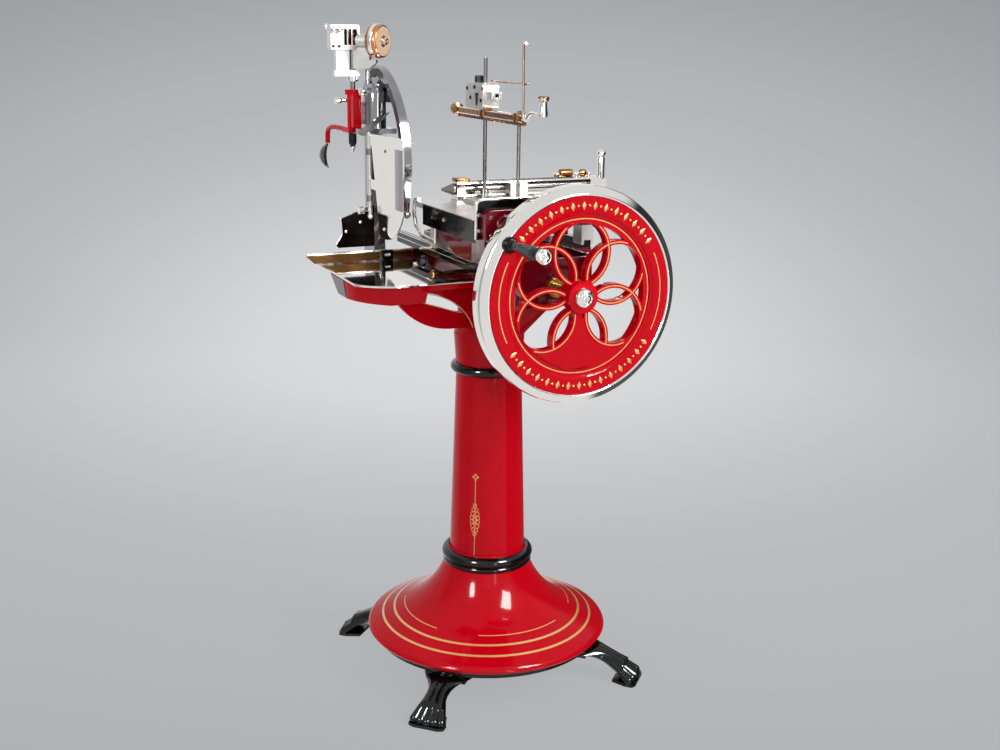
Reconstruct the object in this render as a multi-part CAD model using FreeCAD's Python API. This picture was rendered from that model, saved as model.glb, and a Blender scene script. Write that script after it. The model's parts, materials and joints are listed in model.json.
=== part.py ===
"""Hand-cranked flywheel meat slicer on a cast pedestal, built piece by piece.

Frame: origin on the floor under the pedestal axis, +Z up. The flywheel faces -Y, where the
operator stands. The blade and the receiving tray are on the -X side. The meat carriage
slides along Y and the feed screw pushes the meat along -X. All lengths are millimetres.
"""
import FreeCAD, Part
import math
import os

V = FreeCAD.Vector
X_AXIS, Y_AXIS, Z_AXIS = V(1, 0, 0), V(0, 1, 0), V(0, 0, 1)

# ---- driving dimensions: pedestal ----
RIM_R, RIM_Z = 290.0, 91.0            # dish rim radius and height of its lower edge
FLARE_R, FLARE_Z = 212.0, 141.5       # where the concave flare meets the flat brim
FLARE_SLOPE = 25.0                    # degrees of the brim below horizontal
COLUMN_Z0, COLUMN_Z1 = 281.0, 744.0   # centres of the two beads
COLUMN_R0, COLUMN_R1 = 91.0, 77.0     # column radius at those heights
BEAD_REACH0, BEAD_REACH1 = 19.0, 13.5 # how far the beads stand out of the column
BEAD_HALF = 10.0                      # half height of a bead where it meets the column
TOE_R = 367.0                         # toe centres on the diagonals
TOE_RIDGE_R = 11.0
FOOT_COUNT = 4
CAST_WALL = 8.0

# ---- driving dimensions: bed ----
BED_X0, BED_X1 = -66.0, 150.0
BED_Y0, BED_Y1 = -230.0, 262.0
BED_Z0, BED_Z1 = 925.0, 1030.0
HEAD_TOP = 905.0
RAIL_TOP = 1046.0
RAIL_XL, RAIL_XR = -105.0, 188.0      # centre lines of the two slide rails
RAIL_W = 16.0
RAIL_L_TOP, RAIL_L_LOW = 1026.0, 998.0 # the left rail hangs lower, outside the bed
CONTROL_Y, CONTROL_Z = -75.0, 986.0    # shaft of the thickness lever in the bed's left wall

# ---- driving dimensions: flywheel and drive ----
WHEEL_X, WHEEL_Z = 43.6, 970.9
WHEEL_Y = -360.0                      # front face of the lettered band
WHEEL_BAND_R = 209.0                  # band meets the bright rim
WHEEL_RIM_R = 231.0
WHEEL_RIM_DEPTH = 46.0
WEB_R = 155.0                         # inner edge of the solid ring
LOOP_COUNT = 6
LOOP_CENTRE_R = 92.0                  # petal loop centres
LOOP_A, LOOP_B = 68.0, 63.0           # loop half-axes, along and across the radius
LOOP_RIB = 9.6
SOLID_LOOP_DEG = 270.0                # this loop is cast solid as the counterweight
GRIP_R, GRIP_DEG = 207.0, 144.7
GRIP_LEN = 150.0
SHAFT_R = 9.0
GEAR_R, GEAR_TEETH, GEAR_FACE = 30.0, 20, 11.0
CRANK_Y, CRANK_THROW = 60.0, 115.0
ROD_LEN, ROD_Z = 170.0, 1049.0

# ---- driving dimensions: blade side ----
BLADE_X, BLADE_Y, BLADE_Z = -170.0, 221.0, 1144.0
BLADE_R = 118.0
BLADE_T = 4.0
CASE_X = -200.0                       # middle of the chain case
CASE_TOP = 1268.0
CHAIN_R0, CHAIN_R1 = 23.0, 11.7       # pitch radii of the two sprockets
GUARD_Y, GUARD_Z = 307.0, 1198.0      # centre of the guard arc
GUARD_R, GUARD_W, GUARD_T = 218.0, 20.0, 20.0
SLEEVE_X, SLEEVE_Y = -230.0, 276.0
SLEEVE_Z0, SLEEVE_Z1 = 1268.0, 1366.0
POINTER_PIN = (-236.0, BLADE_Y - 26, CASE_TOP + 6)   # pivot of the thickness pointer
THUMB_Z = 1340.0
WEB_OUTLINE = [(GUARD_Y, 1412.0), (356.0, 1371.0), (356.0, 1288.0), (258.0, 1272.0), (237.0, 1330.0),
               (214.0, 1340.0), (80.0, 1340.0), (80.0, 1412.0)]    # plate inside the guard's arc
STONE_Z, STONE_R = 1476.0, 38.0
STONE_DEG = -51.0                      # where the parked stone points, from +X
TRAY_X0, TRAY_X1, TRAY_Y0, TRAY_Y1, TRAY_Z = -356.0, -75.0, -134.0, 176.0, 975.0
TRAY_LIP_X0 = -388.0
TUB_CORNER = (64.0, 108.0)             # how far the tub's front left corner is cut along x and y
DEFLECTOR_X, DEFLECTOR_Y = -236.0, 150.0   # hinge rod of the slice deflector
LUG_LEVELS = (1120.0, 1226.0)

# ---- driving dimensions: carriage ----
DECK_X0, DECK_X1, DECK_Y0, DECK_Y1, DECK_Z = -155.0, 205.0, -255.0, 76.0, 1127.0
DECK_T = 12.0
SCREW_Y, SCREW_Z = 56.0, 1152.0
FEED_X1 = 306.0                        # right end of the feed rail
FIT = 0.05                             # radial running clearance
POST_X, POST_Y1, POST_Y2 = -3.0, 28.0, -146.0
TALL_R, SHORT_R = 4.4, 4.0             # radii of the two clamp posts
BEAM_Z, BEAM_Y0 = 1320.0, -172.0
BLOCK_TOP = 1390.0


# ---- helpers ----
def box(x0, x1, y0, y1, z0, z1):
    """Return a block between two corners."""
    return Part.makeBox(x1 - x0, y1 - y0, z1 - z0, V(x0, y0, z0))


def cyl(x, y, z, axis, radius, length):
    """Return a cylinder from a point along an axis."""
    return Part.makeCylinder(radius, length, V(x, y, z), axis)


def ring(x, y, z, axis, outer, inner, length):
    """Return a tube from a point along an axis."""
    return cyl(x, y, z, axis, outer, length).cut(cyl(x, y, z, axis, inner, length))


def ball(x, y, z, radius):
    """Return a sphere."""
    return Part.makeSphere(radius, V(x, y, z))


def fuse(*shapes):
    """Return one clean solid from several."""
    whole = shapes[0]
    for shape in shapes[1:]:
        whole = whole.fuse(shape)
    return whole.removeSplitter()


def plate(points, direction):
    """Extrude a closed polygon along a vector."""
    wire = Part.makePolygon([V(*p) for p in points] + [V(*points[0])])
    return Part.Face(wire).extrude(direction)


def turned(profile, origin, axis):
    """Revolve (radius, height) points about an axis through the origin point."""
    frame = FreeCAD.Rotation(Z_AXIS, axis)
    points = [V(r, 0, h) for r, h in profile]
    wire = Part.makePolygon(points + [points[0]])
    solid = Part.Face(wire).revolve(V(0, 0, 0), Z_AXIS, 360)
    solid.Placement = FreeCAD.Placement(V(*origin), frame)
    return solid


def bar(points, radius):
    """Return a round bar through points, with a ball at each bend."""
    pieces = []
    for start, end in zip(points, points[1:]):
        a, b = V(*start), V(*end)
        pieces.append(Part.makeCylinder(radius, (b - a).Length, a, b - a))
    for point in points[1:-1]:
        pieces.append(ball(*point, radius))
    return fuse(*pieces)


def rounded(solid, radius, keep):
    """Fillet the edges that the keep function picks."""
    edges = [edge for edge in solid.Edges if keep(edge)]
    return solid.makeFillet(radius, edges) if edges else solid


def along(edge, axis):
    """Tell whether a straight edge runs along an axis."""
    if len(edge.Vertexes) < 2:
        return False
    run = edge.Vertexes[1].Point - edge.Vertexes[0].Point
    return run.Length > 1e-6 and abs(abs(run.normalize().dot(axis)) - 1) < 1e-6


def polar(centre_a, centre_b, radius, degrees):
    """Return a point on a circle."""
    angle = math.radians(degrees)
    return centre_a + radius * math.cos(angle), centre_b + radius * math.sin(angle)


# ---- pedestal ----
def pedestal_base():
    """Return the dish: a concave flare that runs out into a flat brim with a rounded rim."""
    rise = math.radians(90 - FLARE_SLOPE)
    bend = (FLARE_R - COLUMN_R0) / (1 - math.cos(rise))
    centre = V(COLUMN_R0 + bend, 0, FLARE_Z + bend * math.sin(rise))
    top = COLUMN_Z0 - 8
    start = math.asin((centre.z - top) / bend)

    def skin(offset):
        """Return the outline's arc and brim points, moved inwards by offset."""
        radius = bend + offset
        points = [V(centre.x - radius * math.cos(a), 0, centre.z - radius * math.sin(a))
                  for a in (start, (start + rise) / 2, rise)]
        return points

    slope = math.tan(math.radians(FLARE_SLOPE))
    outer, inner = skin(0), skin(CAST_WALL)
    rim_top = V(RIM_R - 10, 0, outer[2].z - (RIM_R - 10 - outer[2].x) * slope)
    rim_side = V(RIM_R, 0, RIM_Z + 7)
    rim_mid = V(RIM_R - 3, 0, (rim_top.z + rim_side.z) / 2 + 2)
    rim_low = V(RIM_R - 5, 0, RIM_Z)
    rim_in = V(RIM_R - 14, 0, RIM_Z)
    inner_brim = V(RIM_R - 14, 0, inner[2].z - (RIM_R - 14 - inner[2].x) * slope)
    edges = [Part.Arc(*outer).toShape(),
             Part.LineSegment(outer[2], rim_top).toShape(),
             Part.Arc(rim_top, rim_mid, rim_side).toShape(),
             Part.LineSegment(rim_side, rim_low).toShape(),
             Part.LineSegment(rim_low, rim_in).toShape(),
             Part.LineSegment(rim_in, inner_brim).toShape(),
             Part.LineSegment(inner_brim, inner[2]).toShape(),
             Part.Arc(inner[2], inner[1], inner[0]).toShape(),
             Part.LineSegment(inner[0], outer[0]).toShape()]
    return Part.Face(Part.Wire(edges)).revolve(V(0, 0, 0), Z_AXIS, 360)


def foot_ring():
    """Return the black ring under the brim that ties the feet together."""
    return ring(0, 0, RIM_Z - 16, Z_AXIS, RIM_R - 18, RIM_R - 52, 16)


def claw_foot(degrees):
    """Return one cast claw foot: a bowed leg that fans out into five ridged toes on a flat pad."""
    sections = ((RIM_R - 50, 66, 58, 9), (RIM_R - 16, 65, 46, 10), (RIM_R + 12, 57, 29, 14),
                (RIM_R + 42, 41, 27, 19), (TOE_R - 10, 27, 33, 22))
    wires = [flat_oval(*section) for section in sections]
    leg = Part.makeLoft(wires, True)
    leg = leg.fuse(box(RIM_R - 50, RIM_R - 20, -48, 48, 58, RIM_Z - 16))
    toes = []
    for side in (-2, -1, 0, 1, 2):
        heel = V(RIM_R + 34, side * 9, 50)
        nail = V(TOE_R + 13 - 3 * abs(side), side * 16, TOE_RIDGE_R + 1)
        toes += [ball(*nail, TOE_RIDGE_R), Part.makeCone(6, TOE_RIDGE_R, (nail - heel).Length, heel,
                                                         nail - heel)]
    tip, wing = TOE_R + 24, 42
    pad = plate([(TOE_R - 34, -30, 0), (TOE_R - 34, 30, 0), (TOE_R, wing, 0), (tip - 6, wing, 0),
                 (tip, wing - 12, 0),
                 (tip, 12 - wing, 0), (tip - 6, -wing, 0), (TOE_R, -wing, 0)], V(0, 0, 7))
    foot = fuse(leg, *toes, pad).cut(foot_ring())
    foot.rotate(V(0, 0, 0), Z_AXIS, degrees)
    return foot


def flat_oval(x, z, half_width, half_height):
    """Return a closed wire of four arcs square to the X axis, as wide and as high as given."""
    shoulder = 0.75
    top, left = V(x, 0, z + half_height), V(x, -half_width, z)
    low, right = V(x, 0, z - half_height), V(x, half_width, z)
    edges = []
    for start, end in ((top, left), (left, low), (low, right), (right, top)):
        middle = V(x, (start.y + end.y) * shoulder, z + (start.z + end.z - 2 * z) * shoulder)
        edges.append(Part.Arc(start, middle, end).toShape())
    return Part.Wire(edges)


def claw_feet():
    """Return the four feet on the diagonals."""
    step = 360 / FOOT_COUNT
    return Part.makeCompound([claw_foot(step / 2 + step * i) for i in range(FOOT_COUNT)])


def column():
    """Return the tapered hollow column."""
    height = COLUMN_Z1 - COLUMN_Z0
    outer = Part.makeCone(COLUMN_R0, COLUMN_R1, height, V(0, 0, COLUMN_Z0))
    inner = Part.makeCone(COLUMN_R0 - CAST_WALL, COLUMN_R1 - CAST_WALL, height, V(0, 0, COLUMN_Z0))
    return outer.cut(inner)


def half_round(inner, outer, height, half):
    """Return a ring whose section is an arc that stands on an upright chord."""
    low, top = V(inner, 0, height - half), V(inner, 0, height + half)
    edges = [Part.Arc(low, V(outer, 0, height), top).toShape(),
             Part.LineSegment(top, low).toShape()]
    return Part.Face(Part.Wire(edges)).revolve(V(0, 0, 0), Z_AXIS, 360)


def column_beads():
    """Return the two black rings at the ends of the column; the lower one has a small ring under it."""
    inset = CAST_WALL / 2
    lower = half_round(COLUMN_R0 - inset, COLUMN_R0 + BEAD_REACH0, COLUMN_Z0, BEAD_HALF)
    lower = fuse(lower, half_round(COLUMN_R0 + 7, COLUMN_R0 + 16, COLUMN_Z0 - 17, 6.5))
    upper = half_round(COLUMN_R1 - inset, COLUMN_R1 + BEAD_REACH1, COLUMN_Z1, BEAD_HALF)
    neighbours = (column(), pedestal_base(), column_head())
    beads = []
    for bead in (lower, upper):
        for other in neighbours:
            bead = bead.cut(other)
        beads.append(bead)
    return Part.makeCompound(beads)


def column_head():
    """Return the head casting, which flares from the round column to the bed's flange."""
    neck = Part.makeCone(COLUMN_R1, COLUMN_R1 + 6, 80, V(0, 0, COLUMN_Z1))
    round_wire = Part.Wire(Part.makeCircle(COLUMN_R1 + 6, V(0, 0, COLUMN_Z1 + 80)))
    top_face = rounded_rectangle(-48, 118, -104, 104, HEAD_TOP - 16, 40)
    flare = Part.makeLoft([round_wire, top_face], True)
    flange = Part.Face(top_face).extrude(V(0, 0, 16))
    pads = [cyl(x, y, HEAD_TOP, Z_AXIS, 20, BED_Z0 - HEAD_TOP) for x in (-22, 92) for y in (-76, 76)]
    return fuse(neck, flare, flange, *pads)


def rounded_rectangle(x0, x1, y0, y1, z, radius):
    """Return a closed wire with quarter-round corners."""
    edges = []
    corners = ((x1 - radius, y1 - radius, 0), (x0 + radius, y1 - radius, 90),
               (x0 + radius, y0 + radius, 180), (x1 - radius, y0 + radius, 270))
    ends = []
    for cx, cy, start in corners:
        arc = Part.makeCircle(radius, V(cx, cy, z), Z_AXIS, start, start + 90)
        edges.append(arc)
        ends.append((arc.Vertexes[0].Point, arc.Vertexes[-1].Point))
    for i in range(4):
        edges.append(Part.makeLine(ends[i][1], ends[(i + 1) % 4][0]))
    return Part.Wire(Part.__sortEdges__(edges))


# ---- bed ----
def bed_frame():
    """Return the open box casting that holds the drive, with bosses for the shafts."""
    rise = V(0, 0, BED_Z1 - BED_Z0)
    outer = Part.Face(rounded_rectangle(BED_X0, BED_X1, BED_Y0, BED_Y1, BED_Z0, 26)).extrude(rise)
    inner = Part.Face(rounded_rectangle(BED_X0 + CAST_WALL, BED_X1 - CAST_WALL, BED_Y0 + CAST_WALL,
                                        BED_Y1 - CAST_WALL, BED_Z0 + CAST_WALL, 18)).extrude(V(0, 0, 200))
    shell = outer.cut(inner)
    front_boss = cyl(WHEEL_X, BED_Y0 - 14, WHEEL_Z, Y_AXIS, 26, 30)
    side_boss = cyl(BED_X0 - 12, BLADE_Y, WHEEL_Z, X_AXIS, 20, 26)
    ledge = box(BED_X1 - CAST_WALL, RAIL_XR + 10, -120, BED_Y1, BED_Z1 - 12, BED_Z1)
    left_ledge = box(RAIL_XL + RAIL_W / 2, BED_X0 + CAST_WALL, BED_Y0 + 26, BED_Y1 - 26,
                     RAIL_L_TOP - 18, RAIL_L_TOP - 6)
    ribs = [plate([(BED_X1 - 2, y, BED_Z1 - 12), (RAIL_XR + 4, y, BED_Z1 - 12),
                   (BED_X1 - 2, y, BED_Z1 - 60)],
                  V(0, 8, 0)) for y in (-100, 60, 220)]
    control_boss = cyl(BED_X0 - 10, CONTROL_Y, CONTROL_Z, X_AXIS, 10, 12)
    shell = fuse(shell, control_boss, front_boss, side_boss, ledge, left_ledge, *ribs)
    shell = shell.cut(cyl(WHEEL_X, BED_Y0 - 20, WHEEL_Z, Y_AXIS, 16, 60))
    shell = shell.cut(cyl(BED_X0 - 20, CONTROL_Y, CONTROL_Z, X_AXIS, 5 + FIT, 40))
    return shell.cut(cyl(BED_X0 - 20, BLADE_Y, WHEEL_Z, X_AXIS, 12, 60))


def slide_rails():
    """Return the two bright bars that the carriage slides on."""
    left = box(RAIL_XL - RAIL_W / 2, RAIL_XL + RAIL_W / 2, BED_Y0 + 10, BED_Y1 + 40, RAIL_L_LOW, RAIL_L_TOP)
    top_edges = [e for e in left.Edges if along(e, Y_AXIS) and e.Vertexes[0].Point.z > RAIL_L_TOP - 1]
    left = left.makeChamfer(2.5, top_edges)
    right = box(RAIL_XR - RAIL_W / 2, RAIL_XR + RAIL_W / 2, -120, BED_Y1 + 40, BED_Z1, RAIL_TOP)
    return Part.makeCompound([left, right])


def bed_bolts():
    """Return the four hex bolts that hold the bed on the head, from inside the bed."""
    bolts = []
    for x in (-22, 92):
        for y in (-76, 76):
            head = plate([(*polar(x, y, 11, 60 * i), BED_Z0 + CAST_WALL) for i in range(6)], V(0, 0, 8))
            bolts.append(head)
    return Part.makeCompound(bolts)


def shaft_bearings():
    """Return the bushes: front wall, mid pedestal and the two of the cross shaft."""
    front = ring(WHEEL_X, BED_Y0 - 20, WHEEL_Z, Y_AXIS, 16, SHAFT_R + 0.05, 44)
    lip = ring(WHEEL_X, BED_Y0 - 20, WHEEL_Z, Y_AXIS, 22, SHAFT_R + 0.05, 6)
    floor = BED_Z0 + CAST_WALL
    mid = fuse(box(WHEEL_X - 18, WHEEL_X + 18, 104, 128, floor, WHEEL_Z),
               cyl(WHEEL_X, 104, WHEEL_Z, Y_AXIS, 18, 24))
    mid = mid.cut(cyl(WHEEL_X, 100, WHEEL_Z, Y_AXIS, SHAFT_R + 0.05, 40))
    side = ring(BED_X0 - 14, BLADE_Y, WHEEL_Z, X_AXIS, 12, 8.05, 30)
    inner = fuse(box(-30, -12, BLADE_Y - 16, BLADE_Y + 16, floor, WHEEL_Z),
                 cyl(-30, BLADE_Y, WHEEL_Z, X_AXIS, 16, 18))
    inner = inner.cut(cyl(-40, BLADE_Y, WHEEL_Z, X_AXIS, 8.05, 40))
    return Part.makeCompound([fuse(front, lip), mid, side, inner])


def crank_bridge():
    """Return the cross bar with the bearing of the upright crankshaft."""
    beam = box(BED_X0 + CAST_WALL, BED_X1 - CAST_WALL, CRANK_Y - 18, CRANK_Y + 18, 1011, 1024)
    boss = cyl(WHEEL_X, CRANK_Y, 1009, Z_AXIS, 24, 20)
    return fuse(beam, boss).cut(cyl(WHEEL_X, CRANK_Y, 1000, Z_AXIS, 10.05, 60))


# ---- flywheel ----
def petal(loop_deg, grow, y0, depth):
    """Return the solid of one oval petal loop, grown by a margin."""
    ellipse = Part.Ellipse(V(0, 0, 0), LOOP_A + grow, LOOP_B + grow).toShape()
    solid = Part.Face(Part.Wire(ellipse)).extrude(V(0, 0, depth))
    solid.Placement = FreeCAD.Placement(V(LOOP_CENTRE_R, 0, 0), FreeCAD.Rotation())
    solid.rotate(V(0, 0, 0), Z_AXIS, loop_deg)
    solid.rotate(V(0, 0, 0), X_AXIS, 90)
    solid.translate(V(WHEEL_X, y0 + depth, WHEEL_Z))
    return solid


def wheel_disc(y0, outer, length):
    """Return a disc on the flywheel's axis."""
    return cyl(WHEEL_X, y0, WHEEL_Z, Y_AXIS, outer, length)


def flywheel_web():
    """Return the cast web: a flat ring, six interlaced petal loops, boss and counterweight."""
    loops = [SOLID_LOOP_DEG + 360 / LOOP_COUNT * i for i in range(LOOP_COUNT)]
    front, depth = WHEEL_Y, 24.0
    flat = front + 6
    band = turned([(WEB_R, 6), (WEB_R, 30), (WHEEL_BAND_R, 30), (WHEEL_BAND_R, 0), (WHEEL_BAND_R - 34, 0),
                   (WHEEL_BAND_R - 38, 4), (WHEEL_BAND_R - 42, 4), (WHEEL_BAND_R - 42, 6)],
                  (WHEEL_X, front, WHEEL_Z), Y_AXIS)
    disc = wheel_disc(flat, WEB_R + 1, 12)
    for degrees in loops[1:]:
        disc = disc.cut(petal(degrees, -LOOP_RIB / 2, flat - 1, 14))
    wedge = wheel_disc(flat - 1, WEB_R - 3, 14).cut(wheel_disc(flat - 2, 62, 16))
    for degrees in loops:
        wedge = wedge.cut(petal(degrees, 0, flat - 2, 16))
    lower = plate([(WHEEL_X, flat - 3, WHEEL_Z),
                   (WHEEL_X - 400 * math.cos(math.radians(30)), flat - 3, WHEEL_Z - 200),
                   (WHEEL_X, flat - 3, WHEEL_Z - 600),
                   (WHEEL_X + 400 * math.cos(math.radians(30)), flat - 3, WHEEL_Z - 200)], V(0, 20, 0))
    disc = disc.cut(wedge.cut(lower))
    limit = wheel_disc(flat - 8, WEB_R + 1, 60)
    ribs = []
    for degrees in loops:
        rib = petal(degrees, LOOP_RIB / 2, flat - 4, 20)
        ribs.append(rib.cut(petal(degrees, -LOOP_RIB / 2, flat - 5, 22)).common(limit))
    boss = wheel_disc(front - 8, 34, 44)
    web = fuse(disc, band, *ribs, boss)
    return web.cut(wheel_disc(front - 20, SHAFT_R, 90)).cut(grip_pin())


def flywheel_rim():
    """Return the deep bright rim with its crowned section."""
    profile = [(WHEEL_BAND_R, 0), (WHEEL_BAND_R, 32), (WHEEL_BAND_R - 6, 36),
               (WHEEL_BAND_R - 6, WHEEL_RIM_DEPTH),
               (WHEEL_RIM_R - 5, WHEEL_RIM_DEPTH), (WHEEL_RIM_R, WHEEL_RIM_DEPTH - 6), (WHEEL_RIM_R, 14),
               (WHEEL_RIM_R - 4, 6), (WHEEL_RIM_R - 11, 0), (WHEEL_BAND_R + 6, -3)]
    return turned(profile, (WHEEL_X, WHEEL_Y, WHEEL_Z), Y_AXIS).cut(grip_pin())


def hub_cap():
    """Return the domed bright cap over the shaft's end."""
    profile = [(0, 0), (22, 0), (22, -4), (20, -9), (13, -15), (6, -18), (0, -18)]
    return turned(profile, (WHEEL_X, WHEEL_Y - 8, WHEEL_Z), Y_AXIS)


def main_shaft():
    """Return the flywheel's shaft."""
    return cyl(WHEEL_X, WHEEL_Y - 8, WHEEL_Z, Y_AXIS, SHAFT_R, BLADE_Y - GEAR_R - WHEEL_Y + 14)


def mitre_gear(bore, hub_len):
    """Return a mitre gear about +Z whose pitch circle lies at z=0 and whose cone points up."""
    cone = Part.makeCone(GEAR_R - 2.0, GEAR_R - 2.0 - GEAR_FACE, GEAR_FACE, V(0, 0, -1.2))
    back = Part.makeCone(GEAR_R - 8, GEAR_R - 2.0, 5, V(0, 0, -6.2))
    hub = cyl(0, 0, -hub_len, Z_AXIS, 16, hub_len)
    pitch = 2 * math.pi * GEAR_R / GEAR_TEETH

    def section(radius):
        """Return a tooth's trapezoid at the cone radius, square to the cone's face."""
        scale = radius / GEAR_R
        root, tip = 0.235 * pitch * scale, 0.1 * pitch * scale
        rise, sink = 2.0 * scale, 3.4 * scale
        height = GEAR_R - radius
        diagonal = math.sqrt(0.5)
        points = []
        for half, level in ((-root, -sink), (-tip, rise), (tip, rise), (root, -sink)):
            points.append(V(radius + level * diagonal, half, height + level * diagonal))
        return Part.makePolygon(points + [points[0]])

    tooth = Part.makeLoft([section(GEAR_R), section(GEAR_R - GEAR_FACE + 1)], True)
    teeth = []
    for i in range(GEAR_TEETH):
        copy = tooth.copy()
        copy.rotate(V(0, 0, 0), Z_AXIS, 360 / GEAR_TEETH * i)
        teeth.append(copy)
    gear = cone.fuse([back, hub] + teeth).removeSplitter()
    return gear.cut(cyl(0, 0, -100, Z_AXIS, bore, 200))


def placed_gear(bore, hub_len, origin, axis, turn):
    """Return a mitre gear whose cone points along the axis."""
    gear = mitre_gear(bore, hub_len)
    gear.rotate(V(0, 0, 0), Z_AXIS, turn)
    gear.Placement = FreeCAD.Placement(V(*origin), FreeCAD.Rotation(Z_AXIS, axis)).multiply(gear.Placement)
    return gear


def drive_gears():
    """Return the shaft's two like mitre gears, one for the crank and one for the blade."""
    return Part.makeCompound([placed_gear(SHAFT_R, 20, (WHEEL_X, y - GEAR_R, WHEEL_Z), Y_AXIS, 0)
                              for y in (CRANK_Y, BLADE_Y)])


def grip_seat():
    """Return the place of the grip's pin on the wheel."""
    return polar(WHEEL_X, WHEEL_Z, GRIP_R, GRIP_DEG)


def grip_pin():
    """Return the pin with its collar on the wheel."""
    x, z = grip_seat()
    profile = [(0, 8), (7, 8), (7, 0), (17, 0), (17, -9), (13, -14), (6, -14), (6, -GRIP_LEN + 4),
               (0, -GRIP_LEN + 4)]
    return turned(profile, (x, WHEEL_Y, z), Y_AXIS)


def handle_grip():
    """Return the black turned grip, which spins on the pin."""
    x, z = grip_seat()
    profile = [(6.1, -15), (12, -15), (13.5, -19), (12, -24), (9.5, -30), (9.5, -38), (12, -60), (14, -90),
               (15.5, -115), (14.5, -130), (13, -136), (13, -GRIP_LEN + 8), (6.1, -GRIP_LEN + 8)]
    return turned(profile, (x, WHEEL_Y, z), Y_AXIS)


def grip_cap():
    """Return the bright cap that closes the grip."""
    x, z = grip_seat()
    profile = [(0, -GRIP_LEN + 3), (6.1, -GRIP_LEN + 3), (6.1, -GRIP_LEN + 8), (14, -GRIP_LEN + 8),
               (17, -GRIP_LEN),
               (17, -GRIP_LEN - 8), (13, -GRIP_LEN - 15), (6, -GRIP_LEN - 18), (0, -GRIP_LEN - 18)]
    return turned(profile, (x, WHEEL_Y, z), Y_AXIS)


# ---- crank and rod ----
def crank():
    """Return the upright crankshaft with its arm, pin and counterweight."""
    z = BED_Z1 + 1.5
    shaft = cyl(WHEEL_X, CRANK_Y, WHEEL_Z + GEAR_R - 9, Z_AXIS, 10, z - WHEEL_Z - GEAR_R + 15)
    pin_y = CRANK_Y - CRANK_THROW
    arm = fuse(cyl(WHEEL_X, CRANK_Y, z, Z_AXIS, 22, 12), cyl(WHEEL_X, pin_y, z, Z_AXIS, 13, 12),
               plate([(WHEEL_X - 20, CRANK_Y, z), (WHEEL_X + 20, CRANK_Y, z),
                      (WHEEL_X + 12, pin_y, z), (WHEEL_X - 12, pin_y, z)], V(0, 0, 12)))
    tail = plate([(WHEEL_X - 18, CRANK_Y, z), (WHEEL_X - 34, CRANK_Y + 50, z),
                  (WHEEL_X + 34, CRANK_Y + 50, z), (WHEEL_X + 18, CRANK_Y, z)], V(0, 0, 12))
    pin = cyl(WHEEL_X, pin_y, z + 9, Z_AXIS, 7, ROD_Z - z - 3)
    return fuse(shaft, arm, tail, pin)


def connecting_rod():
    """Return the rod, whose far eye takes the carriage's drive pin."""
    y0 = CRANK_Y - CRANK_THROW
    y1 = y0 - ROD_LEN
    shank = box(WHEEL_X - 6, WHEEL_X + 6, y1, y0, ROD_Z - 4, ROD_Z + 4)
    eyes = [cyl(WHEEL_X, y, ROD_Z - 5, Z_AXIS, 13, 10) for y in (y0, y1)]
    rod = fuse(shank, *eyes)
    rod = rod.cut(cyl(WHEEL_X, y0, ROD_Z - 20, Z_AXIS, 7.06, 40))
    return rod.cut(cyl(WHEEL_X, y1, ROD_Z - 20, Z_AXIS, 7.06, 40))


# ---- blade drive ----
def sprocket(x0, z, pitch_r, teeth, bore):
    """Return a plain-toothed chain wheel on an X axis."""
    wheel = cyl(x0, BLADE_Y, z, X_AXIS, pitch_r - 3.0, 4)
    for i in range(teeth):
        tooth = plate([(x0, -1.6, pitch_r - 4), (x0, 1.6, pitch_r - 4), (x0, 0.7, pitch_r + 0.6),
                       (x0, -0.7, pitch_r + 0.6)], V(4, 0, 0))
        tooth.rotate(V(0, 0, 0), X_AXIS, 360 / teeth * i)
        tooth.translate(V(0, BLADE_Y, z))
        wheel = wheel.fuse(tooth)
    wheel = wheel.fuse(cyl(x0, BLADE_Y, z, X_AXIS, bore + 1.6, 9))
    return wheel.cut(cyl(x0 - 1, BLADE_Y, z, X_AXIS, bore, 20))


def chain_loop(grow):
    """Return the outline of the chain's run as a filled plate of unit depth at x=0."""
    span = BLADE_Z - WHEEL_Z
    lean = math.asin((CHAIN_R0 - CHAIN_R1) / span)
    r0, r1 = CHAIN_R0 + grow, CHAIN_R1 + grow
    cos, sin = math.cos(lean), math.sin(lean)
    low = [V(0, BLADE_Y + s * r0 * cos, WHEEL_Z + r0 * sin) for s in (-1, 1)]
    top = [V(0, BLADE_Y + s * r1 * cos, BLADE_Z + r1 * sin) for s in (-1, 1)]
    edges = [Part.Arc(low[0], V(0, BLADE_Y, WHEEL_Z - r0), low[1]).toShape(),
             Part.LineSegment(low[1], top[1]).toShape(),
             Part.Arc(top[1], V(0, BLADE_Y, BLADE_Z + r1), top[0]).toShape(),
             Part.LineSegment(top[0], low[0]).toShape()]
    return Part.Face(Part.Wire(edges))


def drive_chain():
    """Return the closed chain as two rows of side plates, clear of the sprocket between them."""
    rows = []
    for x0 in (CASE_X - 5.5, CASE_X + 2.5):
        loop = chain_loop(3.2).cut(chain_loop(-2.6)).extrude(V(3, 0, 0))
        loop.translate(V(x0, 0, 0))
        rows.append(loop)
    back = chain_loop(3.2).cut(chain_loop(1.6)).extrude(V(5, 0, 0))
    back.translate(V(CASE_X - 2.5, 0, 0))
    return fuse(rows[0], back, rows[1])


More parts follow.
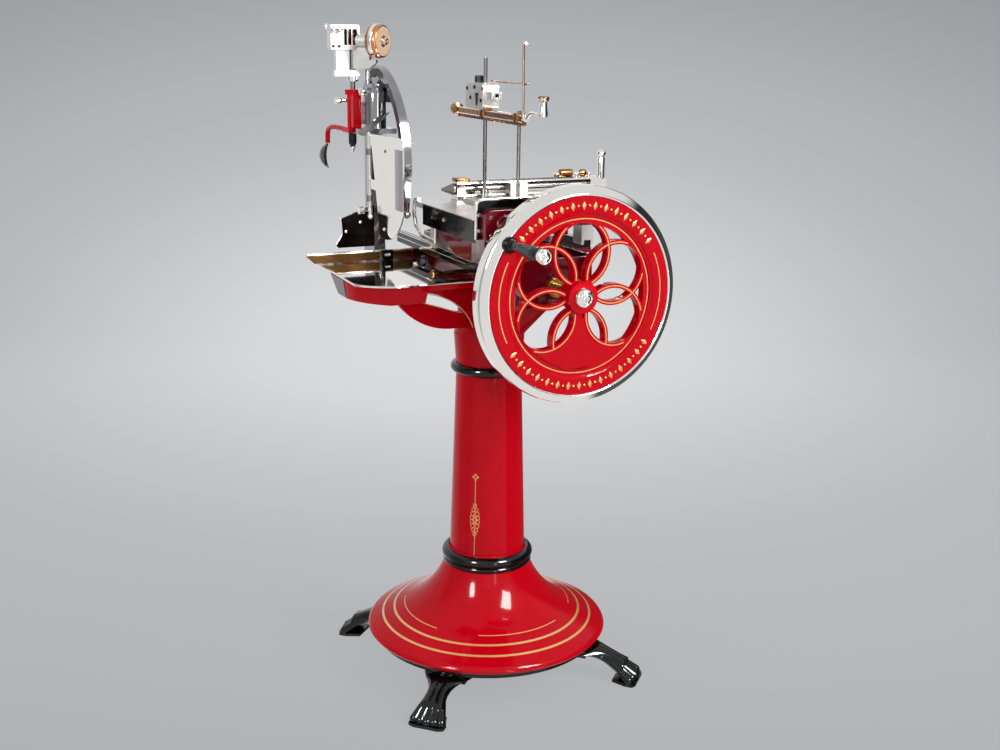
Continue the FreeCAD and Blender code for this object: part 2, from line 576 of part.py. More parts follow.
def case_outline(grow):
    """Return the chain case's side outline: a round foot, tapering into a straight column."""
    foot_r, half = 38 + grow, 24 + grow
    top = CASE_TOP + grow
    disc = Part.Face(Part.Wire(Part.makeCircle(foot_r, V(0, BLADE_Y, WHEEL_Z), X_AXIS)))
    points = [(0, BLADE_Y - foot_r, WHEEL_Z), (0, BLADE_Y + foot_r, WHEEL_Z),
              (0, BLADE_Y + half, BLADE_Z - 40),
              (0, BLADE_Y + half, top), (0, BLADE_Y - half, top), (0, BLADE_Y - half, BLADE_Z - 40)]
    wire = Part.makePolygon([V(*p) for p in points] + [V(*points[0])])
    return disc.fuse(Part.Face(wire)).removeSplitter()


def hinge_lug(z):
    """Return an arm from the case to the deflector's hinge rod."""
    arm = plate([(CASE_X - 12, BLADE_Y - 18, z), (CASE_X - 12, BLADE_Y + 4, z),
                 (DEFLECTOR_X - 6, DEFLECTOR_Y + 4, z), (DEFLECTOR_X + 6, DEFLECTOR_Y - 2, z)], V(0, 0, 14))
    eye = cyl(DEFLECTOR_X, DEFLECTOR_Y, z, Z_AXIS, 9, 14)
    return arm.fuse(eye).cut(cyl(DEFLECTOR_X, DEFLECTOR_Y, z - 5, Z_AXIS, 5.05, 30))


def chain_case():
    """Return the hollow upright that houses the chain and carries the blade's bearing."""
    x0, width = CASE_X - 14, 28
    body = case_outline(0).extrude(V(width, 0, 0))
    body.translate(V(x0, 0, 0))
    room = case_outline(-4).extrude(V(width - 8, 0, 0))
    room.translate(V(x0 + 4, 0, 0))
    room = room.common(box(x0, x0 + width, 0, 500, 0, BLADE_Z + 24))
    arm = ring(x0 + width - 4, BLADE_Y, WHEEL_Z, X_AXIS, 22, 12, BED_X0 - 12 - x0 - width + 4)
    flange = ring(BED_X0 - 20, BLADE_Y, WHEEL_Z, X_AXIS, 34, 12, 8)
    lugs = [hinge_lug(z) for z in LUG_LEVELS]
    body = fuse(body.cut(room), arm, flange, *lugs)
    body = body.cut(cyl(x0 + 6, BLADE_Y, WHEEL_Z, X_AXIS, 8.06, 200))
    body = body.cut(cyl(x0 + 2, BLADE_Y, BLADE_Z, X_AXIS, 7.05, 60))
    return body


def blade():
    """Return the round blade: a dished disc with a bevelled edge."""
    profile = [(9.0, 0), (34, 0), (BLADE_R - 26, -3), (BLADE_R - 3, -1.2), (BLADE_R, 1.6), (BLADE_R - 1, 2),
               (BLADE_R - 26, 0.5), (34, BLADE_T), (9.0, BLADE_T)]
    return turned(profile, (BLADE_X, BLADE_Y, BLADE_Z), X_AXIS)


def blade_spindle():
    """Return the blade's spindle with its flange and clamping nut."""
    shaft = cyl(CASE_X - 11, BLADE_Y, BLADE_Z, X_AXIS, 7, BLADE_X - CASE_X + 20)
    seat = cyl(BLADE_X - 14, BLADE_Y, BLADE_Z, X_AXIS, 20, 14)
    bore_fill = cyl(BLADE_X, BLADE_Y, BLADE_Z, X_AXIS, 9.0, BLADE_T)
    nut = turned([(0, 0), (24, 0), (22, 4), (10, 6), (0, 6)], (BLADE_X + BLADE_T, BLADE_Y, BLADE_Z), X_AXIS)
    return fuse(shaft, seat, bore_fill, nut)


# ---- blade surround ----
def guard_section(y, z, degrees, width, thick):
    """Return a rectangular section square to the arc at an angle."""
    angle = math.radians(degrees)
    out = V(0, math.cos(angle), math.sin(angle))
    side = V(1, 0, 0)
    centre = V(BLADE_X, y, z)
    corners = [centre + out * (a * thick / 2) + side * (b * width / 2) for a, b in
               ((-1, -1), (-1, 1), (1, 1), (1, -1))]
    return Part.makePolygon(corners + [corners[0]])


def blade_guard():
    """Return the gooseneck arc that runs over the blade and ends in a ball at the front."""
    profile = guard_section(GUARD_Y, GUARD_Z + GUARD_R, 90, GUARD_W, GUARD_T)
    sweep = Part.Face(profile).revolve(V(BLADE_X, GUARD_Y, GUARD_Z), V(1, 0, 0), 90)
    top_y = GUARD_Y - GUARD_R
    neck = Part.makeLoft([guard_section(top_y, GUARD_Z, 180, GUARD_W, GUARD_T),
                          guard_section(top_y - 3, GUARD_Z - 96, 180, 9, 7)], True)
    tip = ball(BLADE_X, top_y - 3, GUARD_Z - 104, 9)
    arc = fuse(sweep, neck, tip)
    web = cyl(BLADE_X - 6, GUARD_Y, GUARD_Z, X_AXIS, GUARD_R - GUARD_T / 2 + 1, 6)
    web = web.common(plate([(BLADE_X - 6, y, z) for y, z in WEB_OUTLINE], V(6, 0, 0)))
    return fuse(arc, web)


def guard_column():
    """Return the bright turned column and bar on top of the chain case, which hold the guard."""
    base = box(-243, -150, BLADE_Y - 24, BLADE_Y + 26, CASE_TOP, CASE_TOP + 12)
    base = rounded(base, 5, lambda e: along(e, Z_AXIS))
    x = CASE_X + 6
    drum = turned([(0, 12), (24, 12), (24, 92), (20, 98), (20, 104), (0, 104)], (x, BLADE_Y, CASE_TOP),
                  Z_AXIS)
    rise = box(x - 8, x + 8, BLADE_Y - 10, BLADE_Y + 60, CASE_TOP + 98, CASE_TOP + 112)
    post = cyl(x, BLADE_Y + 46, CASE_TOP + 104, Z_AXIS, 8, 40)
    lug = box(x, BLADE_X - GUARD_W / 2, BLADE_Y + 34, BLADE_Y + 58, CASE_TOP + 126, CASE_TOP + 146)
    column = fuse(base, drum, rise, post, lug)
    column = column.cut(blade_guard())
    return column.cut(cyl(*POINTER_PIN, Y_AXIS, 3 + FIT, 20))


def sharpener_bracket():
    """Return the red sleeve with its foot, which guides the sharpener's rod."""
    sleeve = ring(SLEEVE_X, SLEEVE_Y, SLEEVE_Z0, Z_AXIS, 14, 6.06, SLEEVE_Z1 - SLEEVE_Z0)
    collar = ring(SLEEVE_X, SLEEVE_Y, SLEEVE_Z1 - 12, Z_AXIS, 19, 6.06, 12)
    foot = box(-252, -212, BLADE_Y + 26, SLEEVE_Y + 16, CASE_TOP, CASE_TOP + 12)
    wall = box(-240, -220, BLADE_Y + 26, SLEEVE_Y, CASE_TOP + 8, SLEEVE_Z1 - 8)
    stud_profile = [(0, 0), (9, 0), (9, 26), (6, 29), (6, 34), (3, 44), (0, 46)]
    stud = turned(stud_profile, (-238, SLEEVE_Y - 16, CASE_TOP), V(0, 0, -1))
    bracket = fuse(collar, sleeve, foot, wall, stud)
    bracket = bracket.cut(cyl(SLEEVE_X, SLEEVE_Y, SLEEVE_Z0 - 30, Z_AXIS, 6.06, 200))
    return bracket.cut(cyl(SLEEVE_X - 6, SLEEVE_Y, THUMB_Z, V(-1, 0, 0), 3 + FIT, 20))


def scale_plate():
    """Return the enamelled thickness scale on the bracket's side."""
    return box(-220, -203, SLEEVE_Y - 16, SLEEVE_Y - 13.5, 1286, 1338)


def rear_guard():
    """Return the red arm behind the blade with its dark crescent shield."""
    arm_path = [(-246, SLEEVE_Y + 16, CASE_TOP + 6), (-250, 380, CASE_TOP + 6), (-250, 408, 1262),
                (-250, 412, 1230)]
    arm = bar(arm_path, 6)
    outer = Part.Arc(V(-250, 404, 1231), V(-270, 404, 1201), V(-250, 404, 1171)).toShape()
    inner = Part.Arc(V(-250, 404, 1171), V(-256, 404, 1201), V(-250, 404, 1231)).toShape()
    shield = Part.Face(Part.Wire([outer, inner])).extrude(V(0, 16, 0))
    shield = shield.fuse(ball(-250, 412, 1230, 7))
    return fuse(arm, shield).cut(sharpener_bracket())


# ---- tray side ----
def tray():
    """Return the bright receiving tray with its raised back lip."""
    z = TRAY_Z - 3
    corner = Part.Arc(V(TRAY_X0, TRAY_Y0 + 50, z), V(TRAY_X0 + 34, TRAY_Y0 + 17, z),
                      V(TRAY_X0 + 130, TRAY_Y0, z))
    points = [V(TRAY_X0 + 130, TRAY_Y0, z), V(TRAY_X1, TRAY_Y0 + 3, z), V(TRAY_X1, -10, z), V(-120, -10, z),
              V(-120, TRAY_Y1 + 3, z), V(TRAY_X0 + 6, TRAY_Y1 + 3, z), V(TRAY_X0, TRAY_Y0 + 50, z)]
    edges = [corner.toShape()] + [Part.makeLine(a, b) for a, b in zip(points, points[1:])]
    floor = Part.Face(Part.Wire(edges)).extrude(V(0, 0, 3))
    lip = plate([(TRAY_X0 + 6, TRAY_Y1, z), (-120, TRAY_Y1, z), (-120, TRAY_Y1, TRAY_Z + 24),
                 (TRAY_LIP_X0 + 8, TRAY_Y1, TRAY_Z + 24), (TRAY_LIP_X0, TRAY_Y1, TRAY_Z + 21)], V(0, 3, 0))
    bead = cyl(TRAY_LIP_X0 + 8, TRAY_Y1 + 1.5, TRAY_Z + 24, X_AXIS, 3, -128 - TRAY_LIP_X0)
    return fuse(floor, lip, bead)


def tub_outline(inset, x1, y1, z):
    """Return the tub's plan: a rectangle whose front left corner is a long shallow curve."""
    x0, y0 = TRAY_X0 + 4 + inset, TRAY_Y0 + 26 + inset
    start, end = V(x0, y0 + TUB_CORNER[1], z), V(x0 + TUB_CORNER[0], y0, z)
    bulge = V(x0 + TUB_CORNER[0] * 0.36, y0 + TUB_CORNER[1] * 0.42, z)
    points = [end, V(x1, y0, z), V(x1, y1, z), V(x0, y1, z), start]
    edges = [Part.Arc(start, bulge, end).toShape()]
    edges += [Part.makeLine(a, b) for a, b in zip(points, points[1:])]
    return Part.Wire(edges)


def tray_tub():
    """Return the red casting that carries the tray, with its arm to the column head."""
    top = TRAY_Z - 3
    x1, y0, y1 = -193, TRAY_Y0 + 26, 96
    tub = Part.makeLoft([tub_outline(10, x1 - 6, y1 - 24, top - 46), tub_outline(0, x1, y1, top)], True)
    room = Part.makeLoft([tub_outline(18, x1 - 14, y1 - 32, top - 38),
                          tub_outline(8, x1 - 8, y1 - 8, top + 0.1)], True)
    brim = box(x1 - 20, TRAY_X1 - 4, y0, y0 + 12, top - 18, top)
    tongue = box(x1 - 20, BED_X0, y0, y0 + 68, top - 8, top)
    y, inside = -64, -40                    # front face of the gusset; both webs end inside the head
    low = Part.Arc(V(x1 + 2, y, top - 30), V(-113, y, 910), V(-70, y, 852)).toShape()
    points = [V(-70, y, 852), V(inside, y, 850), V(inside, y, HEAD_TOP - 2), V(BED_X0, y, HEAD_TOP - 2),
              V(BED_X0, y, top - 2), V(x1 - 6, y, top - 2), V(x1 - 6, y, top - 30), V(x1 + 2, y, top - 30)]
    edges = [low] + [Part.makeLine(a, b) for a, b in zip(points, points[1:])]
    gusset = Part.Face(Part.Wire(edges)).extrude(V(0, 14, 0))
    y, tip = -44, -244                      # front face of the leaf; its free end under the tub
    belly = Part.Arc(V(tip, y, 918), V(-185, y, 867), V(-112, y, 850)).toShape()
    crest = Part.Arc(V(-112, y, 890), V(-175, y, 911), V(tip, y, 930)).toShape()
    points = [V(-112, y, 850), V(inside, y, 846), V(inside, y, 872), V(-112, y, 890)]
    edges = [belly] + [Part.makeLine(a, b) for a, b in zip(points, points[1:])]
    edges += [crest, Part.makeLine(V(tip, y, 930), V(tip, y, 918))]
    leaf = Part.Face(Part.Wire(edges)).extrude(V(0, 20, 0)).cut(room)
    whole = fuse(tub.cut(room), brim, tongue, gusset, leaf)
    return whole.cut(column_head()).cut(box(BED_X0, 0, -100, 0, BED_Z0, BED_Z1))


def shield_plate():
    """Return the dark polished plate that stands behind the tray, left of the blade."""
    y0 = TRAY_Y1 + 8
    outline = [(CASE_X - 14, y0, 1010), (-303, y0, 1010), (-309, y0, 1018), (-293, y0, 1040),
               (-296, y0, 1080),
               (-223, y0, 1106), (CASE_X - 14, y0, 1106)]
    sheet = plate(outline, V(0, 3, 0))
    tab = box(CASE_X - 40, CASE_X - 14, y0 + 3, y0 + 14, 1012, 1032)
    return fuse(sheet, tab)


def deflector():
    """Return the tall slice deflector on its hinge rod."""
    x, top, low = DEFLECTOR_X - 1.5, 1278, 1049
    back, front, heel = DEFLECTOR_Y - 12, -66, DEFLECTOR_Y - 66
    edges = [Part.Arc(V(x, heel - 8, low), V(x, -18, 1066), V(x, front, 1118)).toShape(),
             Part.LineSegment(V(x, front, 1118), V(x, front, top - 22)).toShape(),
             Part.Arc(V(x, front, top - 22), V(x, front + 6.5, top - 6.5), V(x, front + 22, top)).toShape(),
             Part.LineSegment(V(x, front + 22, top), V(x, back, top - 4)).toShape(),
             Part.LineSegment(V(x, back, top - 4), V(x, heel, low + 6)).toShape(),
             Part.LineSegment(V(x, heel, low + 6), V(x, heel - 8, low)).toShape()]
    sheet = Part.Face(Part.Wire(edges)).extrude(V(3, 0, 0))
    rod = cyl(DEFLECTOR_X, DEFLECTOR_Y, 1090, Z_AXIS, 5, 186)
    webs = [box(x, x + 3, back - 44, DEFLECTOR_Y, z, z + 22) for z in (1150, 1248)]
    knob_profile = [(0, 0), (4, 0), (4, 10), (9, 12), (9, 24), (0, 24)]
    knob = turned(knob_profile, (DEFLECTOR_X - 4, DEFLECTOR_Y, 1100), V(-1, 0, 0))
    for z in LUG_LEVELS:
        sheet = sheet.cut(cyl(DEFLECTOR_X, DEFLECTOR_Y, z - 1, Z_AXIS, 10, 16))
    return fuse(sheet, rod, knob, *webs)


# ---- carriage ----
def carriage_frame():
    """Return the deck with its side skirt, cross members, shoes and the drive pin."""
    deck = box(DECK_X0, DECK_X1, DECK_Y0, DECK_Y1, DECK_Z - DECK_T, DECK_Z)
    deck = rounded(deck, 10, lambda e: along(e, Z_AXIS))
    z = DECK_Z - DECK_T
    skirt = plate([(DECK_X0, 28, z), (DECK_X0, DECK_Y0, z), (DECK_X0, DECK_Y0, 1080), (DECK_X0, 28, 1080)],
                  V(4, 0, 0))
    leg = plate([(RAIL_XL - 15, 30, z), (RAIL_XL - 15, -165, z), (RAIL_XL - 15, -165, RAIL_L_TOP - 3.7),
                 (RAIL_XL - 15, -80, RAIL_L_TOP - 3.7), (RAIL_XL - 15, 17, 1054)], V(30, 0, 0))
    shoes = [leg, box(RAIL_XL - 15, RAIL_XL + 15, 36, 70, RAIL_L_TOP - 3.7, z)]
    shoes += [box(RAIL_XR - 15, RAIL_XR + 15, y - 20, y + 20, 1036, z) for y in (-98, 20)]
    gap = 0.3
    ways = [box(x - RAIL_W / 2 - gap, x + RAIL_W / 2 + gap, -300, 300, 900, rail_top + gap)
            for x, rail_top in ((RAIL_XL, RAIL_L_TOP), (RAIL_XR, RAIL_TOP))]
    pin_y = CRANK_Y - CRANK_THROW - ROD_LEN
    cross = box(DECK_X0 + 4, DECK_X1 - 4, pin_y - 14, pin_y + 14, z - 14, z)
    pin = cyl(WHEEL_X, pin_y, ROD_Z + 9, Z_AXIS, 7, z - ROD_Z - 9)
    return fuse(deck, skirt, cross, pin, *[shoe.cut(ways[0]).cut(ways[1]) for shoe in shoes])


def end_cheek():
    """Return the upright plate with rounded corners at the carriage's near end."""
    cheek = box(DECK_X0, 60, DECK_Y0 - 8, DECK_Y0, 1086, DECK_Z + 44)
    return rounded(cheek, 14, lambda e: along(e, Y_AXIS) and e.Vertexes[0].Point.z > DECK_Z + 20)


def feed_gearbox():
    """Return the dark red housing of the step feed at the near end."""
    body = box(DECK_X0 + 10, -50, DECK_Y0 - 34, DECK_Y0 - 8, 1084, 1150)
    return rounded(body, 16, lambda e: along(e, Y_AXIS))


def guard_strap():
    """Return the bright C-shaped bar at the carriage's far corner."""
    x, radius = DECK_X0 + 4, 4.5
    top = DECK_Z + radius
    points = [(x, 60, top), (x, 79, top), (x, 88, 1120), (x, 92, 1098), (x, 80, 1070), (x, 40, 1052),
              (x, -36, 1049), (x, -36, 1090)]
    strap = bar(points, radius)
    return strap.cut(box(DECK_X0 - 10, DECK_X0 + 20, -60, 28, 1080, DECK_Z))


def feed_rail():
    """Return the long block along the far edge, through which the feed screw runs."""
    block = box(-66, FEED_X1, SCREW_Y - 18, SCREW_Y + 18, DECK_Z, DECK_Z + 42)
    block = rounded(block, 5, lambda e: along(e, X_AXIS) and e.Vertexes[0].Point.z > DECK_Z + 20)
    slot = box(-46, FEED_X1 - 26, SCREW_Y - 19, SCREW_Y + 9, DECK_Z + 12, DECK_Z + 37)
    return block.cut(slot).cut(cyl(-80, SCREW_Y, SCREW_Z, X_AXIS, 7.05, 400))


def feed_screw():
    """Return the feed screw with its dark cone end."""
    shaft = cyl(-68, SCREW_Y, SCREW_Z, X_AXIS, 7, FEED_X1 + 88)
    tip = turned([(0, 0), (13, 0), (13, -4), (9, -14), (3, -30), (0, -30)], (-67, SCREW_Y, SCREW_Z), X_AXIS)
    return fuse(shaft, tip)


def feed_crank():
    """Return the upright handle on the screw's right end."""
    x = FEED_X1 + 10.5
    hub = ring(FEED_X1 + 1, SCREW_Y, SCREW_Z, X_AXIS, 13, 7, 19)
    profile = [(0, 12), (9, 12), (9, 60), (6, 62), (11, 68), (11, 73), (6, 78), (0, 78)]
    return fuse(hub, turned(profile, (x, SCREW_Y, SCREW_Z), Z_AXIS))


def meat_table():
    """Return the sliding table with its nut, which the screw pulls along the deck."""
    table = box(-60, 160, -235, 30, DECK_Z + 0.3, DECK_Z + 8.3)
    table = rounded(table, 12, lambda e: along(e, Z_AXIS))
    nut = box(60, 104, 20, SCREW_Y + 8, DECK_Z + 12.3, DECK_Z + 36.7)
    nut = nut.cut(cyl(30, SCREW_Y, SCREW_Z, X_AXIS, 7 + FIT, 80))
    neck = box(60, 104, 20, 30, DECK_Z + 8.3, DECK_Z + 12.3)
    return fuse(table, neck, nut)


def clamp_posts():
    """Return the two upright rods of the meat clamp and their foot bosses."""
    foot = DECK_Z + 8.3
    tall = fuse(cyl(POST_X, POST_Y1, foot, Z_AXIS, TALL_R, 1445 - foot),
                cyl(POST_X, POST_Y1, foot, Z_AXIS, 9.5, 18))
    short = fuse(cyl(POST_X, POST_Y2, foot, Z_AXIS, SHORT_R, BEAM_Z + 19 - foot),
                 cyl(POST_X, POST_Y2, foot, Z_AXIS, 10, 18))
    return Part.makeCompound([tall, short])


def clamp_block():
    """Return the white block that slides on the tall post."""
    body = box(POST_X - 20, POST_X + 20, POST_Y1 - 30, POST_Y1 + 66, BEAM_Z + 12, BLOCK_TOP)
    body = rounded(body, 10, lambda e: along(e, X_AXIS))
    ear = box(POST_X - 12, POST_X + 12, POST_Y1 - 60, POST_Y1 - 30, BEAM_Z + 36, BEAM_Z + 52)
    block = fuse(body, ear).cut(cyl(POST_X, POST_Y1, BEAM_Z - 50, Z_AXIS, TALL_R + FIT, 200))
    return block.cut(cyl(POST_X - 6, POST_Y1 + 22, BLOCK_TOP - 11, Z_AXIS, 3 + FIT, 20))


def clamp_beam():
    """Return the toothed pressing beam under the block."""
    y0, y1 = BEAM_Y0, 170
    outline = [(0, y0, 0), (0, y0, 10), (0, y1, 10), (0, y1, -4)]
    count = 24
    step = (y1 - y0) / count
    for i in range(count):
        outline.append((0, y1 - step * (i + 0.5), -12))
        if i < count - 1:
            outline.append((0, y1 - step * (i + 1), -4))
    spine = plate(outline, V(14, 0, 0))
    spine.translate(V(POST_X - 7, 0, BEAM_Z))
    boss = cyl(POST_X, POST_Y2, BEAM_Z - 4, Z_AXIS, 13, 18)
    top = cyl(POST_X, POST_Y1, BEAM_Z - 4, Z_AXIS, 13, 16)
    knob_profile = [(0, 0), (5, 0), (5, 8), (14, 12), (14, 26), (8, 30), (0, 30)]
    knob = turned(knob_profile, (POST_X, y1 - 2, BEAM_Z + 4), Y_AXIS)
    beam = fuse(spine, boss, top, knob)
    beam = beam.cut(cyl(POST_X, POST_Y1, BEAM_Z - 50, Z_AXIS, TALL_R + FIT, 100))
    beam = beam.cut(cyl(POST_X, y0 - 1, BEAM_Z + 5, Y_AXIS, 3 + FIT, 13))
    return beam.cut(cyl(POST_X, POST_Y2, BEAM_Z - 50, Z_AXIS, SHORT_R + FIT, 100))


def clamp_rod():
    """Return the thin hooked rod that hangs the beam's near end from the block."""
    y_stud, y_rod, z_mid = POST_Y1 - 16, POST_Y2 - 18, BLOCK_TOP + 5
    riser = bar([(POST_X, y_rod, BEAM_Z + 10), (POST_X, y_rod, z_mid - 20),
                 (POST_X, y_rod + 2, 1477), (POST_X, y_rod - 10, 1479)], 3)
    beside = POST_X + 9.5
    level = bar([(beside, y_stud, BLOCK_TOP), (beside, y_stud, z_mid), (beside, y_rod, z_mid),
                 (POST_X, y_rod, z_mid)], 2.4)
    return fuse(level, riser)


def clamp_lever():
    """Return the locking lever of the beam with its upright knob."""
    y0, y1, z = BEAM_Y0 - 0.3, -258, BEAM_Z + 5
    hub = fuse(cyl(POST_X, y0 - 8, z, Y_AXIS, 8, 8), cyl(POST_X, y0 - 2, z, Y_AXIS, 3, 13))
    arm = bar([(POST_X, y0 - 4, z), (POST_X, y0 - 30, z + 12), (POST_X, y1, z + 12)], 3.5)
    knob_profile = [(0, 8), (9, 8), (10, 14), (8, 30), (8, 38), (12, 42), (12, 46), (0, 48)]
    knob = turned(knob_profile, (POST_X, y1, z), Z_AXIS)
    return fuse(hub, arm, knob)


def clamp_knob():
    """Return the black knob that locks the block on its post."""
    profile = [(0, -10), (3, -10), (3, 0.3), (10, 0.3), (10, 14), (8, 16), (0, 16)]
    return turned(profile, (POST_X - 6, POST_Y1 + 22, BLOCK_TOP), Z_AXIS)


# ---- sharpener ----
def stone_frame(distance):
    """Return the point on the stone's spindle at a distance from the rod, and its direction."""
    angle = math.radians(STONE_DEG)
    direction = V(math.cos(angle), math.sin(angle), 0)
    return V(SLEEVE_X, SLEEVE_Y, STONE_Z) + direction * distance, direction


def sharpener_rod():
    """Return the rod that slides in the sleeve, with its stop collar."""
    z0 = SLEEVE_Z0 + 8
    return fuse(cyl(SLEEVE_X, SLEEVE_Y, z0, Z_AXIS, 6, STONE_Z + 16 - z0),
                cyl(SLEEVE_X, SLEEVE_Y, SLEEVE_Z1 + 18, Z_AXIS, 11, 12))


def sharpener_head():
    """Return the sharpener's slotted head with the bearing of the stone."""
    low = STONE_Z - 20
    body = rounded(box(-286, -216, 262, 290, low, low + 56), 4, lambda e: along(e, Y_AXIS))
    slot = box(-254, -222, 256, 268, low + 10, low + 46)
    neck = box(-272, -241, 268, 284, low - 56, low)
    clamp = box(-277, -216, 266, 286, low - 60, low - 46)
    start, direction = stone_frame(18)
    bearing = Part.makeCylinder(16, 30, start, direction)
    side = V(-direction.y, direction.x, 0)
    origin = V(SLEEVE_X, SLEEVE_Y, 0) - side * 4
    outline = [(2, low + 4), (46, low + 6), (49, low - 22), (66, low - 22), (66, low - 29), (50, low - 40),
               (34, low - 43), (2, low - 43)]
    bracket = plate([tuple(origin + direction * d + V(0, 0, z)) for d, z in outline], side * 8)
    head = fuse(body.cut(slot), neck, clamp, bearing, bracket)
    head = head.cut(cyl(SLEEVE_X, SLEEVE_Y, low - 80, Z_AXIS, 6.06, 200))
    head = head.cut(cyl(-270, 280, STONE_Z + 20, Y_AXIS, 3 + FIT, 20))
    bore_start, _ = stone_frame(30)
    return head.cut(Part.makeCylinder(5 + FIT, 60, bore_start, direction))


def sharpener_stone():
    """Return the cup-shaped grinding wheel on its spindle."""
    start, direction = stone_frame(0)
    profile = [(0, 34), (5, 34), (5, 50), (12, 50), (STONE_R - 4, 54), (STONE_R, 58), (STONE_R, 80),
               (STONE_R - 3, 84),
               (9, 84), (9, 88), (6, 92), (0, 92)]
    return turned(profile, start, direction)


def sharpener_lever():
    """Return the ball lever on the head's rear face, which swings the stone on to the blade."""
    y, z = 290.3, STONE_Z + 20
    boss = fuse(cyl(-270, y, z, Y_AXIS, 7, 6), cyl(-270, y - 8, z, Y_AXIS, 3, 8))
    knob = V(-281, y + 14, z + 11)
    arm = bar([(-270, y + 3, z), tuple(knob)], 2.4)
    return fuse(boss, arm, Part.makeSphere(7, knob, knob - V(-270, y + 3, z)))


def bracket_thumbscrew():
    """Return the thumbscrew that clamps the sharpener's rod."""
    profile = [(0, -7.8), (3, -7.8), (3, 0), (4.5, 0), (4.5, 14), (7, 16), (8, 22), (7, 29), (0, 31)]
    return turned(profile, (SLEEVE_X - 14.3, SLEEVE_Y, THUMB_Z), V(-1, 0, 0))


def pointer_lever():
    """Return the pointed thickness lever on its pivot."""
    x, y, z = POINTER_PIN
    arm = plate([(x - 5, y, z + 6), (x + 4, y, z - 4), (x + 50, y, z + 28), (x + 68, y, z + 46),
                 (x + 40, y, z + 34)], V(0, 4, 0))
    hub = fuse(cyl(x, y - 6, z, Y_AXIS, 9, 7.7), cyl(x, y, z, Y_AXIS, 3, 12))
    arm.translate(V(0, -6, 0))
    return fuse(arm, hub)


def thickness_lever():
    """Return the knobbed control lever on its cross shaft under the left rail."""
    y, z = CONTROL_Y, CONTROL_Z
    shaft = cyl(BED_X0 + 6, y, z, V(-1, 0, 0), 5, 84)
    arm = bar([(BED_X0 - 74, y, z), (-160, y - 12, z + 1)], 3.5)
    knob_profile = [(0, 0), (4, 0), (8, 4), (10, 12), (10, 24), (7, 32), (0, 34)]
    knob = turned(knob_profile, (-160, y - 12, z + 1), V(-0.86, -0.5, 0.08))
    return fuse(shaft, arm, knob)


NODES = {
    "claw_feet": claw_feet,
    "foot_ring": foot_ring,
    "pedestal_base": pedestal_base,
    "column_beads": column_beads,
    "column": column,
    "column_head": column_head,
    "bed_frame": bed_frame,
    "slide_rails": slide_rails,
    "bed_bolts": bed_bolts,
    "shaft_bearings": shaft_bearings,
    "crank_bridge": crank_bridge,
    "chain_case": chain_case,
    "drive_chain": drive_chain,
    "blade_guard": blade_guard,
    "guard_column": guard_column,
    "sharpener_bracket": sharpener_bracket,
    "scale_plate": scale_plate,
    "rear_guard": rear_guard,
    "tray_tub": tray_tub,
    "shield_plate": shield_plate,
    "flywheel_web": flywheel_web,
    "flywheel_rim": flywheel_rim,
    "hub_cap": hub_cap,
    "main_shaft": main_shaft,
    "drive_gears": drive_gears,
    "grip_pin": grip_pin,
    "handle_grip": handle_grip,
    "grip_cap": grip_cap,
    "crank": crank,
    "crank_gear": lambda: placed_gear(10, 7, (WHEEL_X, CRANK_Y, WHEEL_Z + GEAR_R), V(0, 0, -1), 9),
    "connecting_rod": connecting_rod,
    "cross_shaft": lambda: cyl(CASE_X - 8, BLADE_Y, WHEEL_Z, X_AXIS, 8, WHEEL_X - GEAR_R - CASE_X + 12),
    "cross_gear": lambda: placed_gear(8, 20, (WHEEL_X - GEAR_R, BLADE_Y, WHEEL_Z), X_AXIS, 9),
    "lower_sprocket": lambda: sprocket(CASE_X - 2, WHEEL_Z, CHAIN_R0, 18, 8),
    "blade": blade,
    "blade_spindle": blade_spindle,
    "upper_sprocket": lambda: sprocket(CASE_X - 2, BLADE_Z, CHAIN_R1, 9, 7),
    "carriage_frame": carriage_frame,
    "end_cheek": end_cheek,
    "feed_gearbox": feed_gearbox,
    "guard_strap": guard_strap,
    "feed_rail": feed_rail,
    "feed_screw": feed_screw,
    "feed_crank": feed_crank,
    "meat_table": meat_table,
    "clamp_posts": clamp_posts,
    "clamp_block": clamp_block,
    "clamp_beam": clamp_beam,
    "clamp_rod": clamp_rod,
    "clamp_lever": clamp_lever,
    "clamp_knob": clamp_knob,
    "tray": tray,
    "thickness_lever": thickness_lever,
    "deflector": deflector,
    "sharpener_rod": sharpener_rod,
    "sharpener_head": sharpener_head,
    "sharpener_stone": sharpener_stone,
    "sharpener_lever": sharpener_lever,
    "bracket_thumbscrew": bracket_thumbscrew,
    "pointer_lever": pointer_lever,
}


def main():
    """Build every node and write one STEP file for each."""
    os.makedirs("parts", exist_ok=True)
    for name, build in NODES.items():
        shape = build()
        if not shape.isValid():
            print("invalid:", name)
        shape.exportStep("parts/" + name + ".step")
        print(name, len(shape.Solids), round(shape.Volume / 1000, 1), "cm3")


main()
